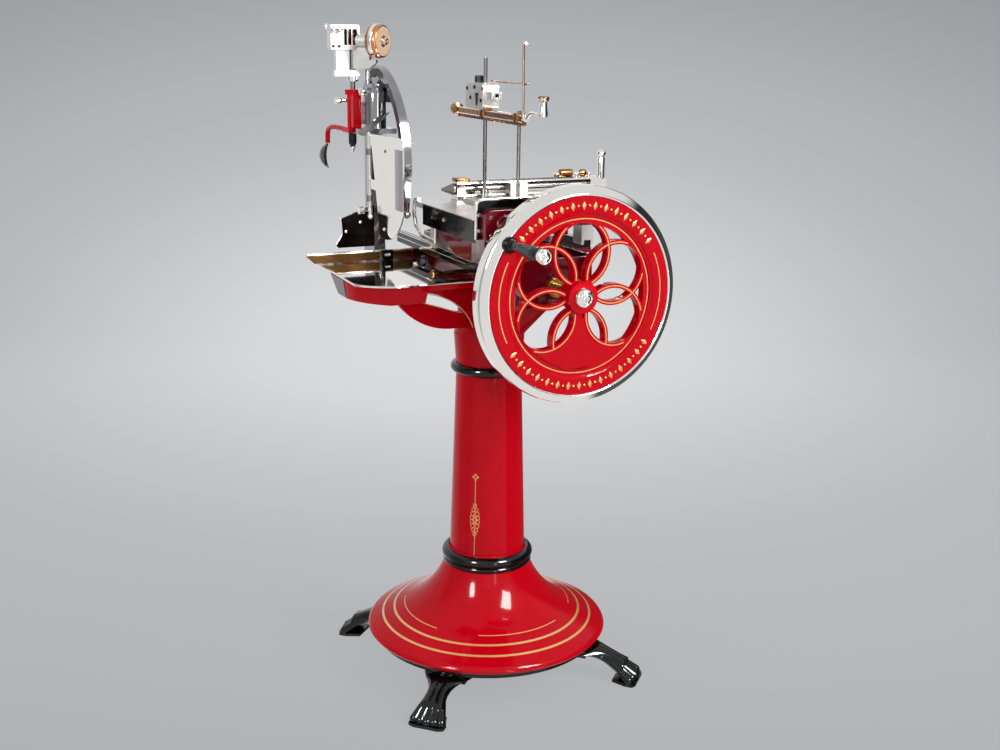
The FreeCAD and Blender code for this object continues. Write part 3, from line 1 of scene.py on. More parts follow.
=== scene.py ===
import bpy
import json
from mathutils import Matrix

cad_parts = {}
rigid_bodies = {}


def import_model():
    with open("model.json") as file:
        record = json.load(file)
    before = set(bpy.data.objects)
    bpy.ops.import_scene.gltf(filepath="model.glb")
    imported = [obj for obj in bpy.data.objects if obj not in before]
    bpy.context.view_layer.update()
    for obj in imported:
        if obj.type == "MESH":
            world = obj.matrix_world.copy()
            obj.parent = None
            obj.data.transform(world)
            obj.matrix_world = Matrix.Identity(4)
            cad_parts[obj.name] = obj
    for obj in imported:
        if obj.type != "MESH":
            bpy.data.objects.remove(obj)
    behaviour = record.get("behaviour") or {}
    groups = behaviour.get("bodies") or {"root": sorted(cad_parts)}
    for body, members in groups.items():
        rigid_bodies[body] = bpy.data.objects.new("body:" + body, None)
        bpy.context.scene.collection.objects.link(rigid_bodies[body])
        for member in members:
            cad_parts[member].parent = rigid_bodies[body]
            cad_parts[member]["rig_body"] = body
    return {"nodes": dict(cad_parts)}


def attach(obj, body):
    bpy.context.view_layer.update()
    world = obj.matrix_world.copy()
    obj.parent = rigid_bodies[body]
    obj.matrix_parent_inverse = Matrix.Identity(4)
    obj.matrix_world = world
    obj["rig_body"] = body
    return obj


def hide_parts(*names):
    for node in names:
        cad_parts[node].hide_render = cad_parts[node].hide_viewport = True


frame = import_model()

"""Hand-cranked flywheel meat slicer, dressed for rendering.

Every length in the classes is in millimetres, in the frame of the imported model: the origin is on the
floor under the pedestal, +Z is up, the flywheel faces -Y and the blade stands on the -X side.
Surfaces are grids worked out with numpy and scaled to metres when their mesh is made.
"""
import json
import logging
from dataclasses import dataclass, field
from enum import Enum
from math import asin, atan2, cos, pi, radians, sin, tan
from typing import Callable, Iterable, Optional, Sequence, Union

import bmesh
import bpy
import numpy as np
from mathutils import Matrix, Vector

MM = 0.001
# directions: near is the flywheel's side, left the blade's
UP, DOWN, NEAR, FAR, LEFT, RIGHT = (0, 0, 1), (0, 0, -1), (0, -1, 0), (0, 1, 0), (-1, 0, 0), (1, 0, 0)
ORIGIN = (0, 0, 0)
# points nearer than this are welded, and faces that meet at less than this angle are joined
WELD_M, FLAT_DEG = 2e-6, 0.4
# heights of a painted line's two faces over the surface that it lies on
PAINT, SUNK = 0.25, -0.1
# half the width of a screw's slot as a share of its radius, and points in a turn of a thread
SLOT, THREAD_STEPS = 0.17, 12
Array = np.ndarray
Point = Sequence[float]
Points = Sequence[Point]
Pair = tuple[float, float]
Triple = tuple[float, float, float]
Place = Callable[[Array, Array, float], Array]
Socket = bpy.types.NodeSocket
log = logging.getLogger("slicer")


# ---- finishes ----
def linear(colour: str) -> tuple[float, ...]:
    """Turn an sRGB hex colour into linear red, green and blue with full alpha."""
    parts = [int(colour[i:i + 2], 16) / 255 for i in (1, 3, 5)]
    return (*(c / 12.92 if c <= 0.04045 else ((c + 0.055) / 1.055) ** 2.4 for c in parts), 1.0)


class Nodes:
    """A node tree that starts empty."""

    def __init__(self, owner: Union[bpy.types.Material, bpy.types.World]) -> None:
        """Clear the nodes of a material or a world."""
        owner.use_nodes = True
        self.tree = owner.node_tree
        self.tree.nodes.clear()

    def add(self, kind: str, inputs: Optional[dict] = None, output: Union[int, str] = 0, **settings: str) -> Socket:
        """Add a node, set its properties and fill or link its inputs.

        Args:
            kind: the node's type, without its prefix.
            inputs: values or output sockets by input name or index.
            output: name or index of the output that is wanted.
            settings: properties of the node.

        Returns:
            The output, or none where the node has no outputs.
        """
        made = self.tree.nodes.new("ShaderNode" + kind)
        for key, value in settings.items():
            setattr(made, key, value)
        for key, value in (inputs or {}).items():
            if isinstance(value, Socket):
                self.tree.links.new(value, made.inputs[key])
            else:
                made.inputs[key].default_value = value
        return made.outputs[output] if made.outputs else None

    def calc(self, operation: str, *values: Union[float, Socket]) -> Socket:
        """Work out one step of arithmetic."""
        return self.add("Math", dict(enumerate(values)), operation=operation)

    def dot(self, one: Socket, other: Vector) -> Socket:
        """Multiply two vectors into a number."""
        return self.add("VectorMath", {0: one, 1: other}, "Value", operation="DOT_PRODUCT")

    def fade(self, value: Socket, start: float, end: float) -> Socket:
        """Ease from nought at one value to one at another."""
        return self.add("MapRange", {"Value": value, "From Min": start, "From Max": end},
                        interpolation_type="SMOOTHSTEP")

    def remap(self, value: Socket, low: float, high: float) -> Socket:
        """Turn nought to one into low to high."""
        return self.add("MapRange", {"Value": value, "To Min": low, "To Max": high})


@dataclass(frozen=True)
class Finish:
    """A finish in object space: mottled colour, uneven gloss and a surface ripple, with sizes in millimetres."""

    slot: str
    name: str
    colour: str
    tint: str
    roughness: Pair
    metallic: float = 0.0
    coat: float = 0.0
    specular: float = 0.5
    mottle: float = 40.0
    ripple: float = 6.0
    depth: float = 0.01
    stretch: Triple = (1.0, 1.0, 1.0)

    def build(self) -> bpy.types.Material:
        """Return the node material, made once for each name."""
        made = bpy.data.materials.get(self.name)
        if made:
            return made
        made = bpy.data.materials.new(self.name)
        nodes = Nodes(made)
        place = nodes.add("Mapping", {"Vector": nodes.add("TexCoord", output="Object"), "Scale": self.stretch})
        broad, fine = (nodes.add("TexNoise", {"Vector": place, "Scale": 1 / (size * MM), "Detail": detail,
                                              "Roughness": rough})
                       for size, detail, rough in ((self.mottle, 4.0, 0.6), (self.ripple, 2.0, 0.5)))
        colour = nodes.add("Mix", {0: broad, 6: linear(self.colour), 7: linear(self.tint)}, 2, data_type="RGBA")
        gloss = nodes.add("MapRange", {"Value": broad, "From Min": 0.3, "From Max": 0.7,
                                       "To Min": self.roughness[0], "To Max": self.roughness[1]})
        bump = nodes.add("Bump", {"Height": fine, "Strength": 1.0, "Distance": self.depth * MM})
        nodes.add("OutputMaterial", {"Surface": nodes.add("BsdfPrincipled", {
            "Base Color": colour, "Roughness": gloss, "Metallic": self.metallic, "Specular IOR Level": self.specular,
            "Coat Weight": self.coat, "Coat Roughness": 0.02, "Normal": bump})})
        return made


class Coat(Enum):
    """The finishes of the machine."""

    # stove enamel on filled and rubbed iron: deep colour under a wet-looking gloss
    RED = Finish("red_enamel", "red_stove_enamel", "#D6041B", "#C60217", (0.12, 0.2), coat=0.18, specular=0.03,
                 ripple=9, depth=0.006)
    # the same red enamel painted a darker wine red: painted shade on the bed, the feed and the carriage's shoe
    SHADED_RED = Finish("red_enamel", "shaded_red_enamel", "#800A1C", "#5A0714", (0.10, 0.18), coat=0.4, specular=0.1,
                    ripple=9, depth=0.008)
    # black enamel: the form is told by reflections alone
    BLACK = Finish("black_enamel", "black_stove_enamel", "#050506", "#09090A", (0.10, 0.2), coat=0.5, specular=0.1,
                   ripple=9, depth=0.008)
    # nickel under chrome, buffed: a mirror with a faint wave of the casting under it
    BRIGHT = Finish("bright_chrome", "bright_nickel_plate", "#E9E6E1", "#DEDAD4", (0.03, 0.07), 1.0, ripple=30,
                    depth=0.004)
    # nickel left from the brush: a soft white in which nothing is mirrored sharply
    SATIN = Finish("bright_chrome", "satin_nickel_plate", "#CFCDCA", "#C3C0BC", (0.26, 0.36), 1.0, ripple=1.5,
                   depth=0.004, stretch=(0.2, 1.0, 1.0))
    # plated guard painted grey: painted shade of the blade's case and a painted reflection of the grey room
    SHADED_NICKEL = Finish("bright_chrome", "shaded_nickel_plate", "#A2A2A5", "#757374", (0.05, 0.12), 1.0, mottle=60,
                    ripple=24, depth=0.006, stretch=(1.0, 1.0, 0.35))
    # ground steel kept under oil: darker and a little streaked
    STEEL = Finish("polished_steel", "ground_oiled_steel", "#8E8A86", "#6F6A66", (0.14, 0.26), 1.0, mottle=25,
                   ripple=2, depth=0.002, stretch=(1.0, 0.12, 1.0))
    # steel blackened by oil and polish, in which the room shows dark
    DARK = Finish("polished_steel", "blackened_steel", "#2E2A29", "#1C1816", (0.08, 0.18), 1.0, mottle=18,
                  ripple=14, depth=0.004)
    # turned brass bushes
    BRASS = Finish("bearing_brass", "turned_brass", "#C9A052", "#B48A3F", (0.16, 0.24), 1.0, ripple=1.5, depth=0.003)
    # copper-plated cup of the stone
    COPPER = Finish("stone_bronze", "coppered_cup", "#D39A72", "#A8683F", (0.16, 0.28), 1.0, mottle=9, ripple=1.2,
                    depth=0.003)
    # pressed grinding grit: matt and sandy
    GRIT = Finish("stone_bronze", "grinding_grit", "#DDBE9F", "#C79F7C", (0.5, 0.7), mottle=3, ripple=0.8, depth=0.05)
    # nickelled lip painted brown: a painted reflection of the room's warm wood
    WOOD_REFLECTION = Finish("polished_steel", "nickel_painted_wood_reflection", "#9A7444", "#6B4A26", (0.14, 0.26), 1.0, mottle=30, ripple=5,
                   depth=0.004, stretch=(0.15, 1.0, 1.0))
    # bronze gone brown with handling
    BRONZE = Finish("polished_steel", "brown_bronze", "#9A6B42", "#6A4527", (0.16, 0.3), 1.0, mottle=12, ripple=4,
                    depth=0.006)
    # drawn wire with a rosy bronze flash
    ROSE = Finish("polished_steel", "rosy_bronze_wire", "#D8BEB2", "#C2A093", (0.12, 0.2), 1.0, mottle=8, ripple=2,
                  depth=0.002)
    # turned wood under many coats of black lacquer
    LACQUER = Finish("black_wood", "black_lacquered_wood", "#040404", "#0A0807", (0.12, 0.22), coat=0.3, mottle=8,
                     ripple=3, depth=0.012, stretch=(1.0, 0.1, 1.0), specular=0.1)
    # pressed black resin
    RESIN = Finish("black_plastic", "black_pressed_resin", "#0D0D0E", "#151516", (0.2, 0.3), coat=0.4, ripple=2,
                   depth=0.004)
    # gold leaf under varnish: a pale warm line
    GOLD = Finish("red_enamel", "gold_leaf_lining", "#F0C07C", "#DDA35C", (0.30, 0.42), 0.35, coat=0.6, mottle=6,
                  ripple=1.0, depth=0.004)
    # white enamelled scale
    WHITE = Finish("bright_chrome", "white_scale_enamel", "#E6E3DA", "#D8D3C6", (0.2, 0.3), coat=0.5, ripple=4,
                   depth=0.004)
    # black figures
    INK = Finish("black_plastic", "black_scale_ink", "#0B0B0B", "#141414", (0.35, 0.45), ripple=2, depth=0.002)


# ---- surfaces ----
@dataclass
class Patch:
    """A piece of surface: points, four-cornered faces and end caps."""

    verts: Array
    quads: Array
    caps: list[list[int]] = field(default_factory=list)


def grid(points: Array, wrap_rows: bool = False, wrap_cols: bool = True, capped: bool = False) -> Patch:
    """Join neighbouring points of a grid by four-cornered faces.

    Args:
        points: rows x columns x 3 array.
        wrap_rows: the last row joins the first.
        wrap_cols: the last column joins the first.
        capped: the first and last rows are closed by a flat face.

    Returns:
        The patch.
    """
    rows, cols = points.shape[:2]
    i = np.arange(rows if wrap_rows else rows - 1)[:, None]
    j = np.arange(cols if wrap_cols else cols - 1)[None, :]
    corner = [((i + a) % rows) * cols + (j + b) % cols for a, b in ((0, 0), (0, 1), (1, 1), (1, 0))]
    caps = [list(range(cols))[::-1], list(range((rows - 1) * cols, rows * cols))] if capped else []
    return Patch(points.reshape(-1, 3), np.stack(corner, -1).reshape(-1, 4), caps)


def spots(*parts: Union[float, Array]) -> Array:
    """Join coordinates, each a number or an array, into points."""
    return np.stack(np.broadcast_arrays(*parts), -1)


def basis(axis: Point) -> tuple[Array, Array, Array]:
    """Return two unit vectors square to an axis, and the axis as a unit vector."""
    w = np.array(axis, float) / np.linalg.norm(axis)
    helper = np.array([1.0, 0, 0]) if abs(w[0]) < 0.9 else np.array([0, 1.0, 0])
    u = np.cross(helper, w)
    u /= np.linalg.norm(u)
    return u, np.cross(w, u), w


def around(steps: int) -> Array:
    """Return evenly spaced angles of a full turn."""
    return np.linspace(0, 2 * pi, steps, endpoint=False)


def lathe(profile: Points, centre: Point, axis: Point = UP, steps: int = 96, closed: bool = False,
          lobes: int = 0, depth: float = 0.0) -> Patch:
    """Carry a profile round an axis: point = centre + r (1 + depth cos(lobes a)) (cos a u + sin a v) + h w.

    Args:
        profile: radius and height pairs.
        centre: the point of height nought on the axis.
        axis: direction of growing height.
        steps: faces round the axis.
        closed: the profile is a closed loop.
        lobes: waves of the radius in one turn, as on a star knob.
        depth: height of a wave as a share of the radius.

    Returns:
        The turned surface.
    """
    line, angle = np.array(profile, float), around(steps)
    u, v, w = basis(axis)
    wave = (1 + depth * np.cos(lobes * angle))[None, :, None]
    spoke = wave * (np.cos(angle)[None, :, None] * u + np.sin(angle)[None, :, None] * v)
    points = np.array(centre, float) + line[:, 0, None, None] * spoke + line[:, 1, None, None] * w
    return grid(points, wrap_rows=closed)


def softened(corners: Points, radius: float, closed: bool = False, steps: int = 5) -> Array:
    """Round a profile's corners: each becomes a quadratic curve between points set back from it.

    Args:
        corners: points of the profile.
        radius: distance set back, never more than 0.45 of a side.
        closed: the profile is a loop.
        steps: points for each corner.

    Returns:
        The rounded profile.
    """
    p = np.array(corners, float)
    sides = (np.roll(p, 1, 0) - p, np.roll(p, -1, 0) - p)
    start, end = (p + side * np.minimum(radius / np.maximum(np.linalg.norm(side, axis=1, keepdims=True), 1e-9), 0.45)
                  for side in sides)
    t = np.linspace(0, 1, steps)[None, :, None]
    curve = start[:, None] * (1 - t) ** 2 + 2 * p[:, None] * t * (1 - t) + end[:, None] * t ** 2
    if closed:
        return curve.reshape(-1, p.shape[1])
    return np.concatenate([p[:1], curve[1:-1].reshape(-1, p.shape[1]), p[-1:]])


def tangents(path: Array, closed: bool) -> Array:
    """Return the unit directions along a path."""
    run = (np.roll(path, -1, 0) - np.roll(path, 1, 0)) if closed else np.gradient(path, axis=0)
    return run / np.linalg.norm(run, axis=1, keepdims=True)


def sweep(path: Array, section: Array, up: Point) -> Patch:
    """Carry a section along an open path: point = path + x (tangent x up) + y (side x tangent).

    Args:
        path: points of the path.
        section: x and y pairs of the section.
        up: a direction never along the path.

    Returns:
        The swept surface with its two caps.
    """
    run = tangents(path, False)
    side = np.cross(run, np.array(up, float))
    side /= np.linalg.norm(side, axis=1, keepdims=True)
    rise = np.cross(side, run)
    points = path[:, None] + section[:, 0, None] * side[:, None] + section[:, 1, None] * rise[:, None]
    return grid(points, capped=True)


def circle(radius: float, steps: int) -> Array:
    """Return a round section."""
    angle = around(steps)
    return radius * spots(np.cos(angle), np.sin(angle))


def tube(points: Points, radius: float, up: Point = UP, soft: float = 10.0, sides: int = 14) -> Patch:
    """Carry a round section along points whose corners are rounded."""
    return sweep(softened(points, soft, steps=7), circle(radius, sides), up)


def bow(start: Point, middle: Point, end: Point, steps: int = 24) -> Array:
    """Return a quadratic curve through three points: its handle is 2 middle - (start + end) / 2."""
    a, b, c = (np.array(q, float) for q in (start, middle, end))
    t = np.linspace(0, 1, steps)[:, None]
    return a * (1 - t) ** 2 + 2 * (2 * b - (a + c) / 2) * t * (1 - t) + c * t ** 2


def prism(outline: Points, depth: Point, edge: float) -> Patch:
    """Carry a flat outline along a straight line, its two ends drawn in by a small edge.

    Args:
        outline: points of the outline in space, in order.
        depth: vector from the first face to the second.
        edge: width of the softened edge.

    Returns:
        The closed prism: rows are the outline scaled about its middle, shifted along the depth.
    """
    flat, run = np.array(outline, float), np.array(depth, float)
    middle = flat.mean(0)
    reach = np.linalg.norm(flat - middle, axis=1).max()
    share = min(edge / np.linalg.norm(run), 0.4)
    rows = [middle + (flat - middle) * (1 - shrink * edge / reach) + run * t
            for t, shrink in ((0.0, 1), (share, 0), (1 - share, 0), (1.0, 1))]
    return grid(np.stack(rows), capped=True)


def block(low: Point, high: Point, radius: float, steps: int = 4) -> Patch:
    """Return a box with rounded edges: a ball of the radius whose eight parts are moved to the corners.

    Args:
        low: corner of least coordinates.
        high: corner of greatest coordinates.
        radius: radius of the edges.
        steps: points on each quarter turn.

    Returns:
        The closed box.
    """
    lo, hi = np.array(low, float), np.array(high, float)
    centre, half = (lo + hi) / 2, (hi - lo) / 2
    r = min(radius, *(half * 0.98))
    quarter = np.linspace(0, pi / 2, steps)
    turn = np.concatenate([quarter + k * pi / 2 for k in range(4)])
    rise = np.concatenate([quarter - pi / 2, quarter])[:, None]
    side_x, side_y = np.repeat([1, -1, -1, 1], steps), np.repeat([1, 1, -1, -1], steps)
    x = side_x * (half[0] - r) + r * np.cos(rise) * np.cos(turn)
    y = side_y * (half[1] - r) + r * np.cos(rise) * np.sin(turn)
    z = np.repeat([-1, 1], steps)[:, None] * (half[2] - r) + r * np.sin(rise)
    return grid(centre + spots(x, y, z), capped=True)


def slotted(centre: Point, axis: Point, radius: float, height: float, turn: float) -> list[Patch]:
    """Return a screw's head: a washer face and two half discs on it, with the driver's slot between them.

    Args:
        centre: middle of its seat.
        axis: direction it looks in.
        radius: of the head.
        height: of the head.
        turn: degrees of the slot about the axis.

    Returns:
        The patches.
    """
    u, v, w = basis(axis)
    edge = asin(SLOT)
    patches = [lathe([(0, -0.3), (radius, -0.3), (radius, 0.4 * height), (0, 0.4 * height)], centre, axis, 28)]
    for half in (0.0, 180.0):
        a = np.linspace(edge, pi - edge, 14) + radians(turn + half)
        rows = [np.array(centre, float) + radius * s * (np.cos(a)[:, None] * u + np.sin(a)[:, None] * v)
                + height * h * w for s, h in ((1.0, 0.3), (1.0, 0.72), (0.8, 1.0))]
        patches.append(grid(np.stack(rows), capped=True))
    return patches


def thread(start: Point, end: Point, radius: float, pitch: float, depth: float) -> Patch:
    """Carry a small tooth along a helix: angle = 2 pi s / pitch at distance s along the axis.

    Args:
        start: middle of the first turn.
        end: middle of the last turn.
        radius: of the core.
        pitch: distance of the turns.
        depth: height of the tooth.

    Returns:
        The ridge.
    """
    a, b = np.array(start, float), np.array(end, float)
    u, v, w = basis(b - a)
    length = float(np.linalg.norm(b - a))
    along = np.linspace(0, length, int(length / pitch * THREAD_STEPS))[:, None]
    angle = 2 * pi * along / pitch
    out = np.cos(angle) * u + np.sin(angle) * v
    rows = [a + along * w + (radius + h) * out + pitch * s * w
            for h, s in ((-0.3, -0.34), (depth, 0.0), (-0.3, 0.34))]
    return grid(np.stack(rows, 1), capped=True)


def ribbon(path: Array, width: float, place: Place, closed: bool = False, thick: float = PAINT) -> Patch:
    """Lay a line of paint on a surface: the path is offset by half the width to each side and lifted.

    Args:
        path: points in the surface's own two coordinates.
        width: width of the line.
        place: turns the two coordinates and a height over the surface into points.
        closed: the path is a loop.
        thick: height of the line over the surface.

    Returns:
        The line as a thin closed band.
    """
    run = tangents(path, closed)
    side = spots(-run[:, 1], run[:, 0]) * width / 2
    corners = [place(*(path + side * sign).T, lift)
               for sign, lift in ((1, SUNK), (1, thick), (-1, thick), (-1, SUNK))]
    return grid(np.stack(corners, 1), wrap_rows=closed, capped=not closed)


def arc(centre: Point, radii: Point, start: float, end: float, steps: int = 64) -> Array:
    """Return points of an ellipse's arc, with angles in degrees."""
    angle = np.radians(np.linspace(start, end, steps))
    return spots(centre[0] + radii[0] * np.cos(angle), centre[1] + radii[1] * np.sin(angle))


def ring(centre: Point, radii: Point, steps: int) -> Array:
    """Return points of a full ellipse."""
    return arc(centre, radii, 0, 360, steps + 1)[:-1]


# ---- making the pieces ----
def placed(name: str, data: bpy.types.ID) -> bpy.types.Object:
    """Put a new object with its data into the scene."""
    made = bpy.data.objects.new(name, data)
    bpy.context.scene.collection.objects.link(made)
    return made


def dress(made: bpy.types.Object, coat: Coat, body: str, stands_for: Sequence[str], smooth: float,
          bevel: float, flat: bool = False) -> None:
    """Weld, orient, smooth and coat an object and put it on its body.

    Args:
        made: the object.
        coat: its finish.
        body: the body that it moves with.
        stands_for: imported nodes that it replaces.
        smooth: edges sharper than this many degrees stay sharp.
        bevel: width of softened edges, in millimetres.
        flat: faces in one plane are joined first.
    """
    work = bmesh.new()
    work.from_mesh(made.data)
    bmesh.ops.remove_doubles(work, verts=work.verts, dist=WELD_M)
    if flat:
        bmesh.ops.dissolve_limit(work, angle_limit=radians(FLAT_DEG), verts=work.verts, edges=work.edges)
    bmesh.ops.recalc_face_normals(work, faces=work.faces)
    work.to_mesh(made.data)
    work.free()
    made.data.shade_smooth()
    made.data.set_sharp_from_angle(angle=radians(smooth))
    if bevel:
        soft = made.modifiers.new("soft_edges", "BEVEL")
        soft.width, soft.segments, soft.limit_method = bevel * MM, 2, "ANGLE"
        soft.angle_limit, soft.harden_normals, soft.use_clamp_overlap = radians(smooth), True, True
    made.data.materials.clear()
    made.data.materials.append(coat.value.build())
    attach(made, body)
    if stands_for:
        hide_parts(*stands_for)
    log.info("%s: %d faces", made.name, len(made.data.polygons))


def piece(name: str, patches: Sequence[Patch], coat: Coat, body: str, stands_for: Sequence[str] = (),
          smooth: float = 38.0, bevel: float = 0.0) -> None:
    """Make one object of patches in millimetres, welded and facing outwards; the rest is as in dress."""
    mesh = bpy.data.meshes.new(name)
    offsets = np.cumsum([0] + [len(p.verts) for p in patches])
    faces = [f for p, o in zip(patches, offsets)
             for f in (p.quads + o).tolist() + [[i + int(o) for i in c] for c in p.caps]]
    mesh.from_pydata((np.concatenate([p.verts for p in patches]) * MM).tolist(), [], faces)
    dress(placed(name, mesh), coat, body, stands_for, smooth, bevel)


def turned(name: str, profile: Points, centre: Point, axis: Point, coat: Coat, body: str,
           soft: float = 0.0, steps: int = 40, closed: bool = False, stands_for: Sequence[str] = (),
           smooth: float = 38.0, lobes: int = 0, depth: float = 0.0) -> None:
    """Make a piece of one profile, its corners softened, on the lathe; the rest is as in lathe and dress."""
    line = softened(profile, soft, closed) if soft else profile
    piece(name, [lathe(line, centre, axis, steps, closed, lobes, depth)], coat, body, stands_for, smooth)


def screws(name: str, seats: Iterable[Point], axis: Point, radius: float, height: float, coat: Coat, body: str,
           smooth: float = 40.0) -> None:
    """Make slotted screws; each seat is x, y, z and the degrees of the slot."""
    heads = [p for *seat, turn in seats for p in slotted(seat, axis, radius, height, turn)]
    piece(name, heads, coat, body, smooth=smooth)


def polish(coat: Coat, smooth: float = 32.0, **nodes: float) -> None:
    """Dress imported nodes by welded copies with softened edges, which replace them.

    Args:
        coat: their finish.
        smooth: edges sharper than this many degrees stay sharp.
        nodes: each node's name with the width of its softened edges in millimetres.
    """
    for node, bevel in nodes.items():
        source = frame["nodes"][node]
        made = placed(node + "_surface", source.data.copy())
        dress(made, coat, source["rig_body"], [node], smooth, bevel, flat=True)


# ---- pedestal ----
@dataclass
class Pedestal:
    """Dish, column, beads and feet, with their gold lines."""

    rim_r: float = 290.0
    rim_z: float = 91.0
    rim_round: float = 10.0
    flare_r: float = 212.0
    flare_z: float = 141.5
    slope: float = 25.0
    wall: float = 8.0
    column_z: Pair = (281.0, 744.0)
    column_r: Pair = (91.0, 77.0)
    bead_reach: Pair = (19.0, 13.5)
    bead_half: float = 10.0
    ring_r: Pair = (226.0, 254.0)
    arc_r: float = 201.0
    ornament_deg: float = -134.5
    ornament_z: float = 387.0

    def dish_height(self, radius: Array) -> Array:
        """Return the heights of the dish at some radii: a circle's arc up to the brim, then a straight slope."""
        rise = radians(90 - self.slope)
        bend = (self.flare_r - self.column_r[0]) / (1 - cos(rise))
        centre_r, centre_z = self.column_r[0] + bend, self.flare_z + bend * sin(rise)
        inside = np.clip(bend ** 2 - (centre_r - radius) ** 2, 0, None)
        brim = self.flare_z - (radius - self.flare_r) * tan(radians(self.slope))
        return np.where(radius < self.flare_r, centre_z - np.sqrt(inside), brim)

    def on_dish(self, angle: Array, radius: Array, lift: float) -> Array:
        """Place (angle in degrees, radius, lift) on the dish."""
        a = np.radians(angle)
        slope = self.dish_height(radius + 0.5) - self.dish_height(radius - 0.5)
        length = np.sqrt(1 + slope ** 2)
        r, z = radius - slope / length * lift, self.dish_height(radius) + lift / length
        return spots(r * np.cos(a), r * np.sin(a), z)

    def on_column(self, across: Array, height: Array, lift: float) -> Array:
        """Place (distance round from the ornament's middle, height, lift) on the column."""
        t = (height - self.column_z[0]) / (self.column_z[1] - self.column_z[0])
        r = self.column_r[0] + (self.column_r[1] - self.column_r[0]) * t + lift
        a = radians(self.ornament_deg) + across / r
        return spots(r * np.cos(a), r * np.sin(a), height)

    def dish(self) -> None:
        """Turn the dish: flare, brim, rounded rim and the hollow underside."""
        inner_r, z, corner_r = self.column_r[0], self.rim_z, self.rim_r - self.rim_round
        radius = np.concatenate([np.linspace(inner_r + 0.4, self.flare_r, 60),
                                 np.linspace(self.flare_r + 4, corner_r, 10)])
        skin = spots(radius, self.dish_height(radius))
        skin[0, 1] = min(skin[0, 1], self.column_z[0] - 8)
        top = float(self.dish_height(np.array([corner_r]))[0])
        side = np.radians(np.linspace(65, 0, 8))
        reach = self.rim_round * np.cos(side) - self.rim_round * cos(side[0]) * (side / side[0])
        edge = spots(corner_r + reach, z + 7 + (top - z - 7) * np.sin(side) / sin(side[0]))[1:]
        edge[:, 0] = np.minimum(edge[:, 0], self.rim_r)
        under = np.array([[self.rim_r - 4, z + 0.6], [self.rim_r - 6, z], [self.rim_r - 14, z]])
        inner = spots(radius[::-1] - 3, self.dish_height(radius[::-1] - 3) - self.wall)
        loop = np.concatenate([skin, edge, under, inner[inner[:, 0] > inner_r + 2]])
        turned("dish_casting", loop, ORIGIN, UP, Coat.RED, "frame", 0, 192, True, ["pedestal_base"])

    def column(self) -> None:
        """Turn the tapered column, its two black beads and the small ring under the lower one."""
        (z0, z1), (r0, r1) = self.column_z, self.column_r
        wall = [(r0, z0), (r1, z1), (r1 - self.wall, z1), (r0 - self.wall, z0)]
        turned("column_tube", wall, ORIGIN, UP, Coat.RED, "frame", 0, 160, True, ["column"])
        beads = []
        for inner, outer, height, half in (
                (r0 - 4, r0 + self.bead_reach[0], z0, self.bead_half), (r0 + 7, r0 + 16, z0 - 17, 6.5),
                (r1 - 4, r1 + self.bead_reach[1], z1, self.bead_half)):
            reach = outer - inner
            bend = (half ** 2 + reach ** 2) / (2 * reach)
            end = pi - asin(half / bend)
            angle = np.linspace(-end, end, 33)
            rows = spots(outer - bend + bend * np.cos(angle), height + bend * np.sin(angle))
            beads.append(lathe(rows, ORIGIN, steps=160, closed=True))
        piece("column_bead_pair", beads, Coat.BLACK, "frame", ["column_beads"])

    def lining(self) -> None:
        """Lay the gold rings and arcs on the dish, and the upright ornament on the column."""
        turn = np.linspace(0, 360, 240, endpoint=False)
        lines = [self.band(turn, radius, 5.0, True) for radius in self.ring_r]
        lines += [self.band(np.linspace(middle - 30, middle + 30, 60), self.arc_r, 1.8, False)
                  for middle in (-90, 0, 90, 180)]
        piece("dish_gold_rings", lines, Coat.GOLD, "frame")
        lines = [ribbon(np.array([[0, low], [0, high]]), 1.3, self.on_column)
                 for low, high in ((296.0, 350.0), (424.0, 486.0))]
        loops = [((across, height), (1.9, 1.9), 12, 1.8) for across, height in ((0, 487), (0, 498), (-5, 492.5),
                                                                                (5, 492.5))]
        for level in np.linspace(352, 422, 8):
            reach = 12.5 * cos((level - self.ornament_z) / 44 * pi / 2)
            loops += [((side * reach * 0.52, level), (reach * 0.46, 4.6), 24, 1.2) for side in (-1, 1)]
        loops.append(((0, self.ornament_z), (5, 9), 24, 1.4))
        lines += [ribbon(ring(middle, radii, steps), width, self.on_column, True)
                  for middle, radii, steps, width in loops]
        piece("column_gold_ornament", lines, Coat.GOLD, "frame")

    def band(self, angles: Array, radius: float, width: float, closed: bool) -> Patch:
        """Lay a line of one radius on the dish.

        Args:
            angles: of its points, in degrees.
            radius: of its middle.
            width: radial width of the line.
            closed: the line is a full ring.

        Returns:
            The line.
        """
        corners = [self.on_dish(angles, radius + side * width / 2, lift)
                   for side, lift in ((-1, SUNK), (-1, PAINT), (1, PAINT), (1, SUNK))]
        return grid(np.stack(corners, 1), wrap_rows=closed, capped=not closed)

    def build(self) -> None:
        """Build the pedestal."""
        self.dish()
        self.column()
        self.lining()
        polish(Coat.BLACK, foot_ring=1.5, claw_feet=1.5)
        polish(Coat.RED, column_head=2.5)


